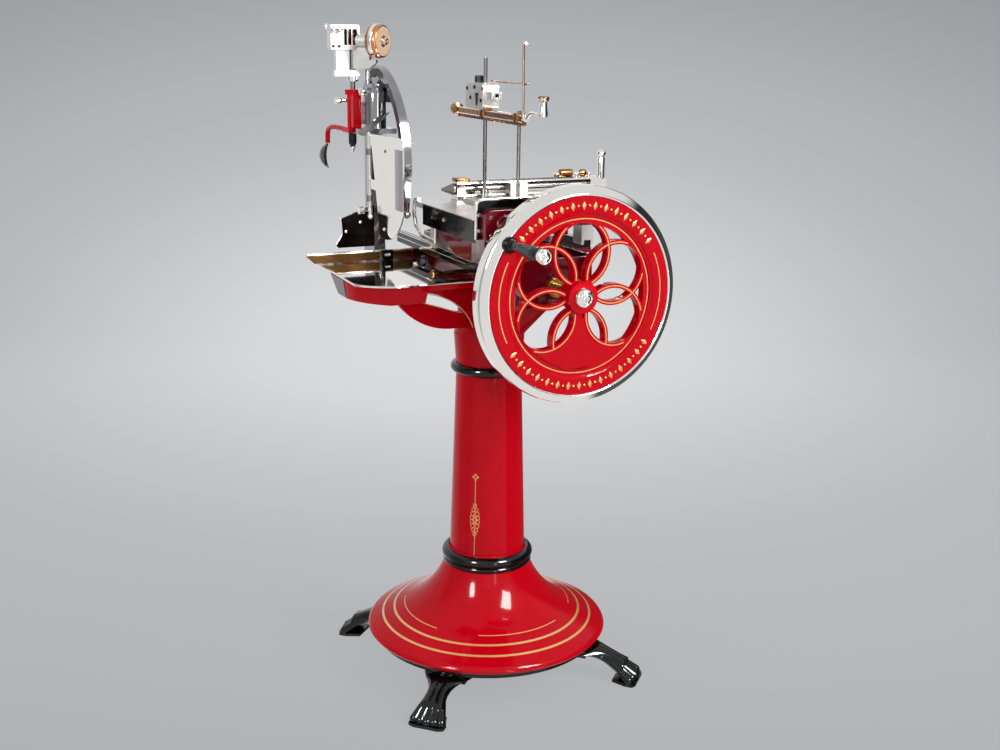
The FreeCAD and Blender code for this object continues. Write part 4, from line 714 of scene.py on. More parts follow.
# ---- flywheel ----
@dataclass
class Flywheel:
    """Wheel with six petal loops, bright rim, gold lining and grip."""

    x: float = 43.6
    y: float = -360.0
    z: float = 970.9
    band_r: float = 209.0
    rim_r: float = 231.0
    rim_depth: float = 46.0
    loops: int = 6
    loop_r: float = 92.0
    loop_axes: Pair = (68.0, 63.0)
    rib: float = 9.6
    rib_face: float = 2.0
    free_r: Pair = (37.0, 151.0)
    ring_r: float = 163.0
    arc_r: float = 190.0
    chain_r: float = 190.5
    grip_r: float = 207.0
    grip_deg: float = 144.7
    grip_len: float = 150.0

    def on_face(self, depth: float) -> Place:
        """Return the mapping from the wheel's plane, at a depth behind the band's face, to space."""
        def place(across: Array, up: Array, lift: float) -> Array:
            """Place a point of the plane."""
            return spots(self.x + across, self.y + depth - lift, self.z + up)
        return place

    def rim(self) -> None:
        """Turn the crowned bright rim and the domed hub cap with its rings."""
        b, r, d = self.band_r, self.rim_r, self.rim_depth
        corners = [(b, 1), (b + 3, -2), (b + 5, -2), (r - 2, 9), (r, 14), (r, d - 6), (r - 5, d), (b - 6, d),
                   (b - 6, 36), (b, 32)]
        turned("bright_rim", corners, (self.x, self.y, self.z), FAR, Coat.BRIGHT, "flywheel", 2.0, 192, True,
               ["flywheel_rim"])
        cap = [(0, 17.6), (4, 17.4), (4.6, 16.0), (5.8, 16.0), (6.4, 17.2), (9, 16.4), (9.6, 14.6), (12.4, 13.6),
               (13, 14.4), (17, 12.4), (20.5, 8), (22, 3), (22, 0), (0, 0)]
        turned("hub_dome", cap, (self.x, self.y - 8, self.z), NEAR, Coat.BRIGHT, "flywheel", 0, 64, False,
               ["hub_cap"], 60)

    def ribs(self) -> None:
        """Line the petal ribs with gold; the solid loop has a line only where its ribs are free.

        Loop number k is an ellipse whose centre lies on a ray of the wheel.
        """
        (a, b), angle = self.loop_axes, np.linspace(0, 2 * pi, 241)
        rays = [radians(270 + 360 / self.loops * k) for k in range(self.loops)]
        lines = []
        for k, ray in enumerate(rays):
            x, y = self.loop_r + a * np.cos(angle), b * np.sin(angle)
            path = spots(x * cos(ray) - y * sin(ray), x * sin(ray) + y * cos(ray))
            inside = np.hypot(path[:, 0], path[:, 1])
            keep = (inside > self.free_r[0]) & (inside < self.free_r[1])
            if k == 0:
                within = np.zeros(len(path), bool)
                for other in (rays[1], rays[-1]):
                    x = path @ np.array([cos(other), sin(other)])
                    y = path @ np.array([-sin(other), cos(other)])
                    within |= ((x - self.loop_r) / a) ** 2 + (y / b) ** 2 < 1
                keep &= within
            cuts = np.flatnonzero(np.diff(keep.astype(int))) + 1
            lines += [ribbon(part, 2.2, self.on_face(self.rib_face))
                      for part, flag in zip(np.split(path, cuts), np.split(keep, cuts)) if flag[0] and len(part) > 8]
        piece("petal_gold_lines", lines, Coat.GOLD, "flywheel")

    def sector(self) -> None:
        """Face the counterweight: at each radius r it fills the angle between its two neighbour loops.

        A circle of radius r meets a loop where ((r c - R) / a)^2 + (r^2 - r^2 c^2) / b^2 = 1, with c the
        cosine of the angle from the loop's own ray.
        """
        r = np.linspace(45, 152, 40)
        a, b = (axis + self.rib / 2 + 0.3 for axis in self.loop_axes)
        square = r ** 2 * (1 / a ** 2 - 1 / b ** 2)
        slope = -2 * self.loop_r * r / a ** 2
        rest = self.loop_r ** 2 / a ** 2 + r ** 2 / b ** 2 - 1
        cosine = 2 * rest / (-slope + np.sqrt(slope ** 2 - 4 * square * rest))
        half = radians(360 / self.loops) - np.arccos(np.clip(cosine, -1, 1))
        angle = radians(270) + half[:, None] * np.linspace(-1, 1, 33)
        across, up = r[:, None] * np.cos(angle), r[:, None] * np.sin(angle)
        front, back = (self.on_face(self.rib_face + depth)(across, up, 0.0) for depth in (0.2, 3.8))
        skins = np.concatenate([front, back[:, ::-1]], 1)
        piece("counterweight_face", [grid(skins, capped=True)], Coat.RED, "flywheel", smooth=30, bevel=0.6)

    def lining(self) -> None:
        """Lay the gold rings and arcs, and the chain of lozenges and dots along the two arcs."""
        face = self.on_face(0.0)
        lines = [ribbon(ring((0, 0), (self.ring_r,) * 2, 180), 2.2, self.on_face(6.0), True)]
        lines += [ribbon(arc((0, 0), (self.arc_r,) * 2, start, end), 2.2, face)
                  for start, end in ((-26, 26), (154, 206))]
        piece("wheel_gold_rings", lines, Coat.GOLD, "flywheel")
        chain = []
        for start, end in ((35, 145), (215, 325)):
            for k, degrees in enumerate(np.linspace(start, end, 29)):
                a = radians(degrees)
                middle = self.chain_r * np.array([cos(a), sin(a)])
                reach, corners = ((2.4, 2.4), 12) if k % 2 else ((9.0, 5.0), 4)
                spin = np.array([[cos(a), -sin(a)], [sin(a), cos(a)]])
                outline = circle(1.0, corners) * reach @ spin.T + middle
                rows = [face(*(middle + (outline - middle) * s).T, h)
                        for s, h in ((1.0, -0.2), (1.0, 0.5), (0.55, 1.8), (0.0, 1.9))]
                chain.append(grid(np.stack(rows)))
        piece("wheel_gold_chain", chain, Coat.GOLD, "flywheel")

    def grip(self) -> None:
        """Turn the black grip and its bright cap."""
        a, n = radians(self.grip_deg), self.grip_len
        seat = (self.x + self.grip_r * cos(a), self.y, self.z + self.grip_r * sin(a))
        wood = [(6.1, 15), (12, 15), (13.5, 19), (12, 24), (9.5, 30), (9.5, 38), (12, 60), (14, 90), (15.5, 115),
                (14.5, 130), (13, 136), (13, n - 8), (6.1, n - 8)]
        turned("turned_grip", wood, seat, NEAR, Coat.LACQUER, "grip", 4.0, 64, False, ["handle_grip"], 50)
        cap = [(0, n - 3), (6.1, n - 3), (6.1, n - 8), (13, n - 8), (15, n - 3), (15, n + 6), (12.6, n + 9),
               (11.8, n + 7.6), (9, n + 8.4), (5.4, n + 10.4), (4.6, n + 9), (0, n + 9.4)]
        turned("grip_end_cap", cap, seat, NEAR, Coat.BRIGHT, "grip", 0.9, 64, False, ["grip_cap"], 60)

    def build(self) -> None:
        """Build the wheel."""
        polish(Coat.RED, smooth=30, flywheel_web=1.6)
        self.rim()
        self.ribs()
        self.sector()
        self.lining()
        self.grip()
        polish(Coat.DARK, grip_pin=0.6)


# ---- the rest ----
@dataclass
class Bed:
    """Bed, rails and drive under the carriage."""

    rail_x: float = -105.0
    rail_half: float = 8.0
    rail_top: float = 1026.0
    rail_y: Pair = (-218.0, 300.0)
    wall_x: float = 150.0

    def details(self) -> None:
        """Lay thin bright lines on the dark outer rail as painted highlights along its edges, and put slotted screws
        along the bed's right wall.
        """
        left, right = self.rail_x - self.rail_half, self.rail_x + self.rail_half
        top, (y0, y1) = self.rail_top, self.rail_y
        # painted highlights: bright lines along the rail's edges and on its side
        runs = [tube([(x, y0, z), (x, y1, z)], 0.9, UP, 1.0, 8)
                for x, z in ((left, top - 2.6), (left + 2.6, top), (right - 2.6, top), (left, top - 15))]
        piece("outer_rail_painted_highlights", runs, Coat.BRIGHT, "frame")
        screws("bed_wall_screws", [(self.wall_x, y, 1012, 20 + y) for y in (-180, -60, 60, 180)], RIGHT, 6.5, 3.0,
               Coat.STEEL, "frame")

    def build(self) -> None:
        """Build the bed's pieces."""
        # the bed frame and, below, the crank bridge in the darker red: painted shade
        polish(Coat.SHADED_RED, bed_frame=2.0)
        polish(Coat.DARK, slide_rails=0.6)
        polish(Coat.STEEL, bed_bolts=0.5)
        polish(Coat.BRASS, shaft_bearings=0.4)
        polish(Coat.SHADED_RED, crank_bridge=1.0)
        polish(Coat.STEEL, main_shaft=0.4, drive_gears=0.15, crank=0.8, crank_gear=0.15, connecting_rod=0.6,
               cross_shaft=0.4, cross_gear=0.15, lower_sprocket=0.2, upper_sprocket=0.2, drive_chain=0.2)
        self.details()


@dataclass
class BladeSide:
    """Chain case, blade, guard, deflector, tray and tub."""

    tray_z: float = 975.0
    tray_y1: float = 176.0
    case_top: float = 1268.0
    sleeve_y: float = 276.0
    hinge: Pair = (-236.0, 150.0)

    def tray_details(self) -> None:
        """Add the tray's rolled front edge, the back lip's face painted brown as a reflection of wood, and the slide
        block in its gap.
        """
        z, y1 = self.tray_z, self.tray_y1
        edge = [(x, y, z - 1.4) for x, y in ((-78, -131), (-226, -134), (-318, -118), (-355, -84), (-351, 60),
                                             (-351, y1 - 1))]
        piece("tray_rolled_edge", [tube(edge, 2.0, UP, 34.0)], Coat.BRIGHT, "tray_body")
        faces = [prism([(x, y1 - 0.2, z + up) for x, up in ((x0, 3), (x1, 3), (x1, 21), (x2, 21))], (0, -0.8, 0), 0.2)
                 for x0, x1, x2 in ((-364, -204, -384), (-170, -124, -170))]
        # the back lip's face painted brown: a painted reflection of the room's wood
        piece("tray_lip_face", faces, Coat.WOOD_REFLECTION, "tray_body")
        slide = block((-202, y1 - 6, z + 0.4), (-172, y1 + 1, z + 26), 2.0)
        piece("tray_slide_block", [slide], Coat.DARK, "tray_body")
        screws("tray_block_screws", [(x, y1 - 6, z + 14, 40) for x in (-190, -182)], NEAR, 2.6, 1.6, Coat.BRIGHT,
               "tray_body", 38.0)

    def tub_details(self) -> None:
        """Add the dark end panel of the tub and the gold fillets on its webs."""
        x0, y0, top = -352.0, -108.0, self.tray_z - 3
        outline = [(x0 - 0.1, y0 + 112, top - 2), (x0 - 0.1, 92, top - 2), (x0 + 9.3, 70, top - 44),
                   (x0 + 9.3, y0 + 122, top - 44)]
        piece("tub_end_panel", [prism(outline, (-1.0, 0, -0.2), 0.4)], Coat.BLACK, "frame", bevel=0.3)
        webs = [sweep(bow((-190, -64.6, top - 31), (-113, -64.6, 911), (-71, -64.6, 854)), circle(1.1, 8), FAR),
                sweep(bow((-243, -44.6, 930), (-175, -44.6, 912), (-112, -44.6, 891)), circle(0.9, 8), FAR),
                tube([(-112, -44.6, 891), (-76, -44.6, 882)], 0.9, FAR, 1.0, 8)]
        piece("web_bright_fillets", webs, Coat.GOLD, "frame")

    def guard_details(self) -> None:
        """Add the star knob, the stud's sleeve and tip, the hinge rod's ball and the deflector's rolled edge."""
        star = [(0, 0), (3.6, 0), (3.6, 7), (8.2, 8), (9.6, 10), (9.6, 15), (8.0, 17), (3.2, 18), (0, 18)]
        turned("column_star_knob", star, (-212, 234, 1362), (-1, -0.25, 0), Coat.BRIGHT, "frame", 0, 80, smooth=50,
               lobes=5, depth=0.16)
        foot = (-238, 260, self.case_top)
        sleeve = [(0, 0.4), (9.4, 0.4), (9.4, 26), (6.4, 29.4), (6.4, 33), (0, 33)]
        turned("stud_black_sleeve", sleeve, foot, DOWN, Coat.BLACK, "frame", 1.0)
        tip = [(0, 33.2), (6.5, 33.2), (6.5, 36), (4.8, 41), (3.4, 45), (0, 46.4)]
        turned("stud_bright_tip", tip, foot, DOWN, Coat.BRIGHT, "frame", 1.0)
        ball = [(abs(6.6 * sin(t)), -6.6 * cos(t)) for t in np.linspace(0, pi, 17)]
        turned("hinge_rod_ball", ball, (*self.hinge, 1085), UP, Coat.BRIGHT, "deflector_body", 0, 32, smooth=60)
        s = np.linspace(0, 1, 15)
        bulge = np.concatenate([-237.7 - 1.5 * np.sin(pi * s), [-237.35, -237.35]])
        across = np.concatenate([-16 - 47 * s, [-63, -16]])
        roll = np.stack([spots(bulge, across, z) for z in (1122, 1253)])
        # the rolled edge in nickel painted grey: painted shade and reflection
        piece("deflector_rolled_edge", [grid(roll, capped=True)], Coat.SHADED_NICKEL, "deflector_body", smooth=35)
        screws("deflector_screw", [(-237.5, 43, 1243, 75)], LEFT, 3.6, 1.8, Coat.STEEL, "deflector_body")

    def rear_arm(self) -> None:
        """Carry the red arm to the dark crescent, whose two edges are circles through the same tips."""
        y, z = self.sleeve_y + 14, self.case_top + 6
        arm = tube([(-244, y, z), (-250, 376, z), (-250, 410, 1264), (-250, 412, 1232)], 6.0, RIGHT, 26.0)
        piece("crescent_arm", [arm], Coat.RED, "frame", ["rear_guard"])
        t = np.linspace(-0.985, 0.985, 33)
        outer, inner = -237.5 - np.sqrt(32.5 ** 2 - (30 * t) ** 2), -178 - np.sqrt(78.0 ** 2 - (30 * t) ** 2)
        wide = np.maximum(inner - outer, 1.0)
        section = ((0.0, 1.5), (0.0, 14.5), (0.35, 16.0), (1.0, 15.0), (1.0, 1.0), (0.35, 0.0))
        rows = [spots(outer + share * wide, 404 + depth, 1201 + 30 * t) for share, depth in section]
        piece("crescent_shield", [grid(np.stack(rows, 1), capped=True)], Coat.RESIN, "frame", smooth=35)

    def scale(self) -> None:
        """Rule the white scale with strokes, a long one at every fifth, and number them."""
        def place(across: Array, up: Array, lift: float) -> Array:
            """Place a point of the plate's front face."""
            return spots(-220 + across, 260 - lift, 1286 + up)
        marks = [np.array([[1.5, h], [4.5 if k % 5 else 7.5, h]]) for k, h in enumerate(np.linspace(6, 46, 11))]
        for level, strokes in ((3.5, ((0, 0), (0, 1), (1, 1), (1, 0), (0, 0))), (23.5, ((0.5, 0), (0.5, 1))),
                               (43.0, ((0, 1), (1, 1), (1, 0.5), (0, 0.5), (0, 0), (1, 0)))):
            path = np.array(strokes, float) * (4.0, 5.5) + (10.5, level)
            marks += [np.stack(pair) for pair in zip(path, path[1:])]
        piece("scale_strokes", [ribbon(mark, 0.9, place, thick=0.3) for mark in marks], Coat.INK, "frame")

    def plate_details(self) -> None:
        """Rivet the dark plate behind the tray and edge it with bright wire."""
        y = self.tray_y1 + 6.4
        dome = softened([(0, -0.4), (4.2, -0.4), (4.2, 0.8), (2.6, 2.4), (0, 2.8)], 0.8)
        domes = [lathe(dome, (x, y, z), NEAR, 28) for x, z in ((-249, 1068), (-284, 1048))]
        piece("plate_rivets", domes, Coat.BRIGHT, "frame")
        wire = [(x, y + 1, z) for x, z in ((-308, 1019), (-293, 1040), (-296, 1079), (-224, 1105))]
        piece("plate_bright_edge", [tube(wire, 1.4, FAR, 3.0, 10)], Coat.BRIGHT, "frame")

    def build(self) -> None:
        """Build the blade side's pieces."""
        # the case here and the guard and its column below in nickel painted grey: painted shade and reflection
        polish(Coat.SHADED_NICKEL, chain_case=1.5)
        polish(Coat.BRIGHT, blade=0.0)
        polish(Coat.STEEL, blade_spindle=0.5)
        polish(Coat.SHADED_NICKEL, blade_guard=3.0, guard_column=1.0)
        polish(Coat.RED, sharpener_bracket=1.0)
        polish(Coat.WHITE, scale_plate=0.4)
        polish(Coat.BRIGHT, tray=0.5)
        polish(Coat.RED, tray_tub=2.0)
        polish(Coat.DARK, shield_plate=0.5)
        polish(Coat.BRIGHT, deflector=0.5)
        polish(Coat.STEEL, pointer_lever=0.5)
        polish(Coat.BRONZE, thickness_lever=0.5)
        polish(Coat.BRIGHT, bracket_thumbscrew=0.4)
        self.tray_details()
        self.tub_details()
        self.guard_details()
        self.rear_arm()
        self.scale()
        self.plate_details()


@dataclass
class Carriage:
    """Deck, feed and meat clamp."""

    deck_x0: float = -155.0
    deck_y0: float = -255.0
    deck_z: float = 1127.0
    screw_y: float = 56.0
    screw_z: float = 1152.0
    rail_x1: float = 306.0
    post_x: float = -3.0
    beam_z: float = 1320.0
    beam_y: Pair = (-172.0, 170.0)

    def skirt(self) -> None:
        """Dress the deck's left side with a dark plate and its bright bolt, and the shoe with a face of darker red as
        painted shade.
        """
        x, z = self.deck_x0 - 0.1, self.deck_z - 12
        outline = [(x, 26, z + 10.5), (x, -254, z + 10.5), (x, -254, 1080), (x, 26, 1080)]
        piece("skirt_plate", [prism(outline, (-0.8, 0, 0), 0.3)], Coat.DARK, "carriage")
        leg = [(-120.1, y, up) for y, up in ((28, z), (-163, z), (-163, 1024), (-82, 1024), (15, 1055))]
        # the shoe's face in darker red: painted shade
        piece("shoe_face", [prism(leg, (-0.6, 0, 0), 0.2)], Coat.SHADED_RED, "carriage")
        screws("skirt_bolt", [(x - 0.8, -99, z - 8, 15)], LEFT, 4.6, 2.6, Coat.BRIGHT, "carriage")

    def feed_box(self) -> None:
        """Dress the near end: black face in a bright frame, screws, and the boss of the step feed."""
        y = self.deck_y0 - 8
        x0, x1, z0, z1, r = self.deck_x0 + 4, 56.0, 1090.0, self.deck_z + 40, 10.0
        side = np.radians(np.linspace(0, 90, 7))
        corner = [(x1 - r + r * cos(a), y, z1 - r + r * sin(a)) for a in side]
        corner += [(x0 + r - r * sin(a), y, z1 - r + r * cos(a)) for a in side]
        face = prism([(x1, y, z0)] + corner + [(x0, y, z0)], (0, -0.8, 0), 0.3)
        piece("cheek_black_face", [face], Coat.BLACK, "carriage")
        screws("cheek_screws", [(-148, y - 0.8, z, z) for z in (1138, 1106)], NEAR, 3.6, 2.2, Coat.BRIGHT, "carriage")
        front = self.deck_y0 - 34
        boss = [(0, -0.4), (24, -0.4), (24, 2), (21, 4), (17, 4), (16, 2), (9, 2), (8, 5), (0, 6)]
        # the feed boss in the darker red: painted shade
        turned("feed_boss", boss, (-97.5, front, 1117), NEAR, Coat.SHADED_RED, "carriage", 0.8, 56)
        screws("feed_box_screws", [(x, front, z, x) for x in (-133, -62) for z in (1136, 1098)], NEAR, 4.0, 2.4,
               Coat.STEEL, "carriage")

    def rail_details(self) -> None:
        """Add the rack on the feed rail, the stops and rollers on it, and the feed's half-nut lever."""
        z, y, screw_z = self.deck_z + 42, self.screw_y, self.screw_z
        teeth = np.arange(-58, 236, 5.0)
        along = np.repeat(teeth, 2) + np.tile([0.0, 2.4], len(teeth))
        saw, foot = np.tile([z + 2.6, z + 0.4], len(teeth)), z - 0.4
        rows = [spots(along, y + side, level) for side, level in ((-16.5, foot), (-16.5, saw), (-7.0, saw),
                                                                  (-7.0, foot))]
        piece("feed_rack", [grid(np.stack(rows, 1), capped=True)], Coat.STEEL, "carriage", smooth=20)
        stops = [block((-66, y - 17, z - 0.3), (-34, y + 15, z + 8), 2.0),
                 block((196, y - 15, z - 0.3), (214, y + 13, z + 5), 1.5)]
        piece("rail_stops", stops, Coat.BRONZE, "carriage")
        roller = softened([(0, 0), (8, 0), (9, 2), (9, 30), (8, 32), (4, 34), (0, 34)], 1.2)
        small = softened([(0, 0), (4, 0), (8, 4), (9, 10), (8, 16), (4, 20), (0, 20)], 1.2)
        piece("rail_rollers", [lathe(roller, (204, y - 2, z + 10), RIGHT, 48, lobes=24, depth=0.02),
                               lathe(small, (256, y - 2, z + 8.6), RIGHT, 48)], Coat.BRONZE, "carriage", smooth=50)
        shaft = [tube([(190, y - 2, z + 9), (286, y - 2, z + 9)], 3.0, UP, 1.0)]
        shaft += [block((x, y - 8, z - 0.3), (x1, y + 4, z + 9), 1.5) for x, x1 in ((244, 252), (278, 284))]
        piece("roller_shaft", shaft, Coat.BRIGHT, "carriage")
        lever = tube([(80, y - 20, screw_z + 8), (79, y - 27, screw_z - 2), (70, y - 30, screw_z - 20)], 4.4, RIGHT,
                     8.0)
        piece("half_nut_lever", [lever, block((64, y - 24, screw_z - 8), (100, y - 19, screw_z + 9), 2.0)],
              Coat.BLACK, "table_body")
        ridge = thread((-40, y, screw_z), (self.rail_x1 - 30, y, screw_z), 7.0, 4.0, 0.5)
        piece("feed_screw_thread", [ridge], Coat.STEEL, "screw_body", smooth=20)
        ribs = [block((x, -226, self.deck_z + 7.9), (x + 3, 18, self.deck_z + 9.1), 0.5, 3)
                for x in range(-44, 150, 14) if abs(x + 1.5 - self.post_x) > 14]
        piece("table_ribs", ribs, Coat.BRIGHT, "table_body")

    def clamp(self) -> None:
        """Add the block's screws and wedge, the ear's ring with a dark disc of painted shade in its hole, the beam's
        bright edges and the lever's cap.
        """
        post, x, beam = self.post_x, self.post_x - 20, self.beam_z
        seats = ((0, 1378), (44, 1380), (84, 1376), (10, 1352), (66, 1356))
        screws("block_screws", [(x, y, z, y) for y, z in seats], LEFT, 4.2, 1.6, Coat.DARK, "clamp")
        wedge = [(x + 0.1, y, z) for y, z in ((24, 1368), (38, 1368), (33, 1340), (29, 1340))]
        piece("block_wedge", [prism(wedge, (-1.4, 0, 0), 0.4)], Coat.DARK, "clamp")
        ear = (post, -32, beam + 44)
        turned("ear_ring", [(4.5, -0.3), (9.5, -0.3), (9.5, 3), (4.5, 3)], ear, NEAR, Coat.BRIGHT, "clamp", 1.0,
               closed=True)
        # painted shade: a dark disc fills the ear's hole
        turned("ear_hole_painted_shade", [(0, -0.2), (4.8, -0.2), (4.8, 0.8), (0, 0.8)], ear, NEAR, Coat.DARK, "clamp", 0, 24)
        y0, y1 = self.beam_y
        edges = [tube([(post + s * 7, y0 + 1, z), (post + s * 7, y1 - 1, z)], 1.3, UP, 1.0, 10)
                 for s in (-1, 1) for z in (beam + 9.6, beam - 3.4)]
        piece("beam_edges", edges, Coat.BRIGHT, "clamp")
        cap = [(0, 45.5), (12.4, 45.5), (12.4, 48), (9, 50), (0, 50.4)]
        turned("lever_cap", cap, (post, -258, beam + 5), UP, Coat.BRONZE, "clamp_lever_body", 0.8)

    def build(self) -> None:
        """Build the carriage's pieces."""
        polish(Coat.SATIN, carriage_frame=0.8)
        polish(Coat.BRIGHT, end_cheek=1.2)
        # the feed gearbox in the darker red: painted shade
        polish(Coat.SHADED_RED, feed_gearbox=1.5)
        polish(Coat.BRIGHT, guard_strap=0.5, feed_rail=1.0)
        polish(Coat.STEEL, feed_screw=0.3)
        polish(Coat.BRIGHT, feed_crank=0.6)
        polish(Coat.SATIN, meat_table=0.8)
        polish(Coat.STEEL, clamp_posts=0.5)
        polish(Coat.SATIN, clamp_block=1.0)
        polish(Coat.BRONZE, clamp_beam=0.6)
        polish(Coat.ROSE, clamp_rod=0.0)
        polish(Coat.BRIGHT, clamp_lever=0.4)
        polish(Coat.RESIN, clamp_knob=0.6)
        self.skirt()
        self.feed_box()
        self.rail_details()
        self.clamp()


@dataclass
class Sharpener:
    """Sharpening head over the blade."""

    rod: Pair = (-230.0, 276.0)
    stone_z: float = 1476.0
    stone_deg: float = -51.0
    stone_r: float = 38.0

    def stone(self) -> None:
        """Add the grit in the cup's face, a bright band round it as a painted reflection of a softbox, and the nut on
        its spindle.
        """
        a, r, foot, body = radians(self.stone_deg), self.stone_r, (*self.rod, self.stone_z), "stone_body"
        way = (cos(a), sin(a), 0)
        grit = [(13, 83.6), (r - 5, 83.6), (r - 5, 84.8), (13, 84.8)]
        turned("cup_grit_face", grit, foot, way, Coat.GRIT, body, 0.4, 80, True)
        # painted reflection: a bright band where a softbox shows on the cup's side
        band = [(r - 0.3, 63), (r + 0.7, 64), (r + 0.7, 72), (r - 0.3, 73)]
        turned("cup_painted_reflection_band", band, foot, way, Coat.BRIGHT, body, 0.6, 80, True)
        nut = [(0, 84), (11, 84), (11, 86.4), (8.4, 87), (8.4, 92.4), (6.6, 93.6), (3, 93.6), (2.2, 92.6), (0, 92.6)]
        turned("spindle_nut", nut, foot, way, Coat.BRIGHT, body, 0, 48, smooth=30, lobes=6, depth=0.05)

    def head(self) -> None:
        """Add the screws of the head's face, the gibs in its slot and the ring of the stop collar."""
        body = "sharpener_head_body"
        ball = softened([(0, 0), (2.4, 0), (2.4, 5), (5.4, 7), (6.4, 11), (5.0, 15), (0, 16)], 0.9)
        balls = [lathe(ball, (x, 262.2, 1502), NEAR, 32) for x in (-280, -266)]
        piece("head_finger_screws", balls, Coat.BRIGHT, body, smooth=50)
        screws("head_screws", [(x, 262, 1464, x) for x in (-280, -266, -222)], NEAR, 3.2, 1.6, Coat.DARK, body)
        inside = [(x, 267.7, z) for x, z in ((-253.6, 1466.4), (-222.4, 1466.4), (-222.4, 1501.6), (-253.6, 1501.6))]
        piece("head_slot_shade", [prism(inside, (0, -0.6, 0), 0.2)], Coat.DARK, body)
        gibs = [block((x, 262.6, 1466.6), (x + 5, 267.2, 1501.4), 1.0) for x in (-247, -236)]
        piece("head_slot_gibs", gibs, Coat.BRIGHT, body)
        turned("stop_collar_ring", [(11.4, 0), (13.2, 0), (13.2, 12), (11.4, 12)], (*self.rod, 1384), UP, Coat.BRIGHT,
               "sharpener_rod_body", 0.5, 48, True, lobes=40, depth=0.012)

    def build(self) -> None:
        """Build the sharpener's pieces."""
        polish(Coat.STEEL, sharpener_rod=0.4)
        polish(Coat.SATIN, sharpener_head=1.0)
        polish(Coat.COPPER, sharpener_stone=0.5)
        polish(Coat.BRIGHT, sharpener_lever=0.0)
        self.stone()
        self.head()


# ---- studio ----
@dataclass
class Studio:
    """Pale seamless floor, soft lamps and the camera."""

    position: Triple = (-1247.0, -2683.0, 1511.0)
    forward: Triple = (0.41501, 0.87244, -0.25848)
    roll: float = 0.013
    lens: float = 46.83
    pool_m: float = 3.25
    glow_share: float = 0.74
    roof_level: float = 0.98
    room_level: float = 0.45
    shine: Triple = (1.15, 1.15, 1.16)
    dark_slant: Pair = (0.58, 0.68)
    dark_rise: Pair = (0.55, 0.4)
    dusk_side: Pair = (-0.7, -0.85)
    dusk_front: Pair = (0.35, 0.1)
    dusk_share: float = 0.5
    dark_paper: float = 0.05
    dark_room: float = 0.04
    aim_z: float = 0.9

    @property
    def ahead(self) -> Vector:
        """Level direction from the camera to the machine."""
        return Vector((self.forward[0], self.forward[1], 0)).normalized()

    def camera(self) -> None:
        """Place the camera: rows of its turn are right, up and back."""
        ahead = Vector(self.forward).normalized()
        right = ahead.cross(Vector(UP)).normalized()
        up = right.cross(ahead)
        c, s = cos(self.roll), sin(self.roll)
        rows = (c * right + s * up, -s * right + c * up, -ahead)
        eye = placed("camera", bpy.data.cameras.new("camera"))
        turn = Matrix([[rows[j][i] for j in range(3)] for i in range(3)]).to_4x4()
        eye.matrix_world = Matrix.Translation(Vector(self.position) * MM) @ turn
        eye.data.lens, eye.data.sensor_width, eye.data.clip_start, eye.data.clip_end = self.lens, 36.0, 0.05, 100.0
        bpy.context.scene.camera = eye

    def gloom(self, nodes: Nodes, way: Socket) -> Socket:
        """Find how dark the room is in one direction: dark on the right, dusky on the left.

        Args:
            nodes: the node tree.
            way: the direction looked in, of length one.

        Returns:
            The factor: nought where the room is lit, one where it is dark.
        """
        front, side = nodes.dot(way, self.ahead), nodes.dot(way, Vector((self.ahead.y, -self.ahead.x, 0)))
        rise = nodes.add("SeparateXYZ", {0: way}, 2)
        slant = nodes.calc("MULTIPLY_ADD", front, 0.5, side)
        dark = nodes.calc("MULTIPLY", nodes.fade(slant, *self.dark_slant), nodes.fade(rise, *self.dark_rise))
        dusk = nodes.calc("MULTIPLY", nodes.fade(side, *self.dusk_side), nodes.fade(front, *self.dusk_front))
        return nodes.calc("MULTIPLY_ADD", dusk, self.dusk_share, dark)

    def paper(self) -> bpy.types.Material:
        """Make the backdrop's paper.

        The diffuse part keeps the machine's shadow. The camera sees a pool of light behind the machine, whose
        level falls with the distance from its middle. Metal and gloss see a bright level with its gloom.

        Returns:
            The material.
        """
        made = bpy.data.materials.new("studio_paper")
        nodes = Nodes(made)
        pool = self.ahead * self.pool_m + Vector((-0.1, 0.05, 0))
        far = nodes.add("VectorMath", {0: nodes.add("TexCoord", output="Object"), 1: pool}, operation="SUBTRACT")
        far = nodes.add("VectorMath", {0: far, 1: (0.2, 0.2, 0.48)}, operation="MULTIPLY")
        ramp = self.ramp(nodes, nodes.add("VectorMath", {0: far}, "Value", operation="LENGTH"))
        camera, glossy, through = (nodes.add("LightPath", output=f"Is {kind} Ray")
                                   for kind in ("Camera", "Glossy", "Transmission"))
        seen = nodes.calc("MAXIMUM", nodes.calc("MAXIMUM", camera, glossy), through)
        back = nodes.add("NewGeometry", output="Incoming")
        way = nodes.add("VectorMath", {0: back, "Scale": -1.0}, operation="SCALE")
        lit = nodes.remap(self.gloom(nodes, way), 1.0, self.dark_paper)
        shine = nodes.add("VectorMath", {0: self.shine, "Scale": lit}, operation="SCALE")
        shown = nodes.add("Mix", {0: glossy, 6: ramp, 7: shine}, 2, data_type="RGBA")
        glow = nodes.add("Emission", {"Color": shown})
        matt = nodes.add("BsdfDiffuse", {"Color": linear("#9EA0A2")})
        share = nodes.calc("MULTIPLY", seen, self.glow_share)
        nodes.add("OutputMaterial", {"Surface": nodes.add("MixShader", {0: share, 1: matt, 2: glow})})
        return made

    def ramp(self, nodes: Nodes, far: Socket) -> Socket:
        """Turn the distance from the pool's middle into the paper's colour."""
        colour = nodes.add("ValToRGB", {"Fac": far})
        stops = colour.node.color_ramp.elements
        for spot, shade in ((0.2, "#F0F1F2"), (0.28, "#E7E8EA"), (0.4, "#D8DADC"), (0.52, "#CBCDD0"),
                            (0.68, "#C2C5C8"), (0.84, "#B3B7BA")):
            stops.new(spot).color = linear(shade)
        stops[0].color, stops[-1].color = linear("#F6F7F8"), linear("#A6AAAD")
        return colour

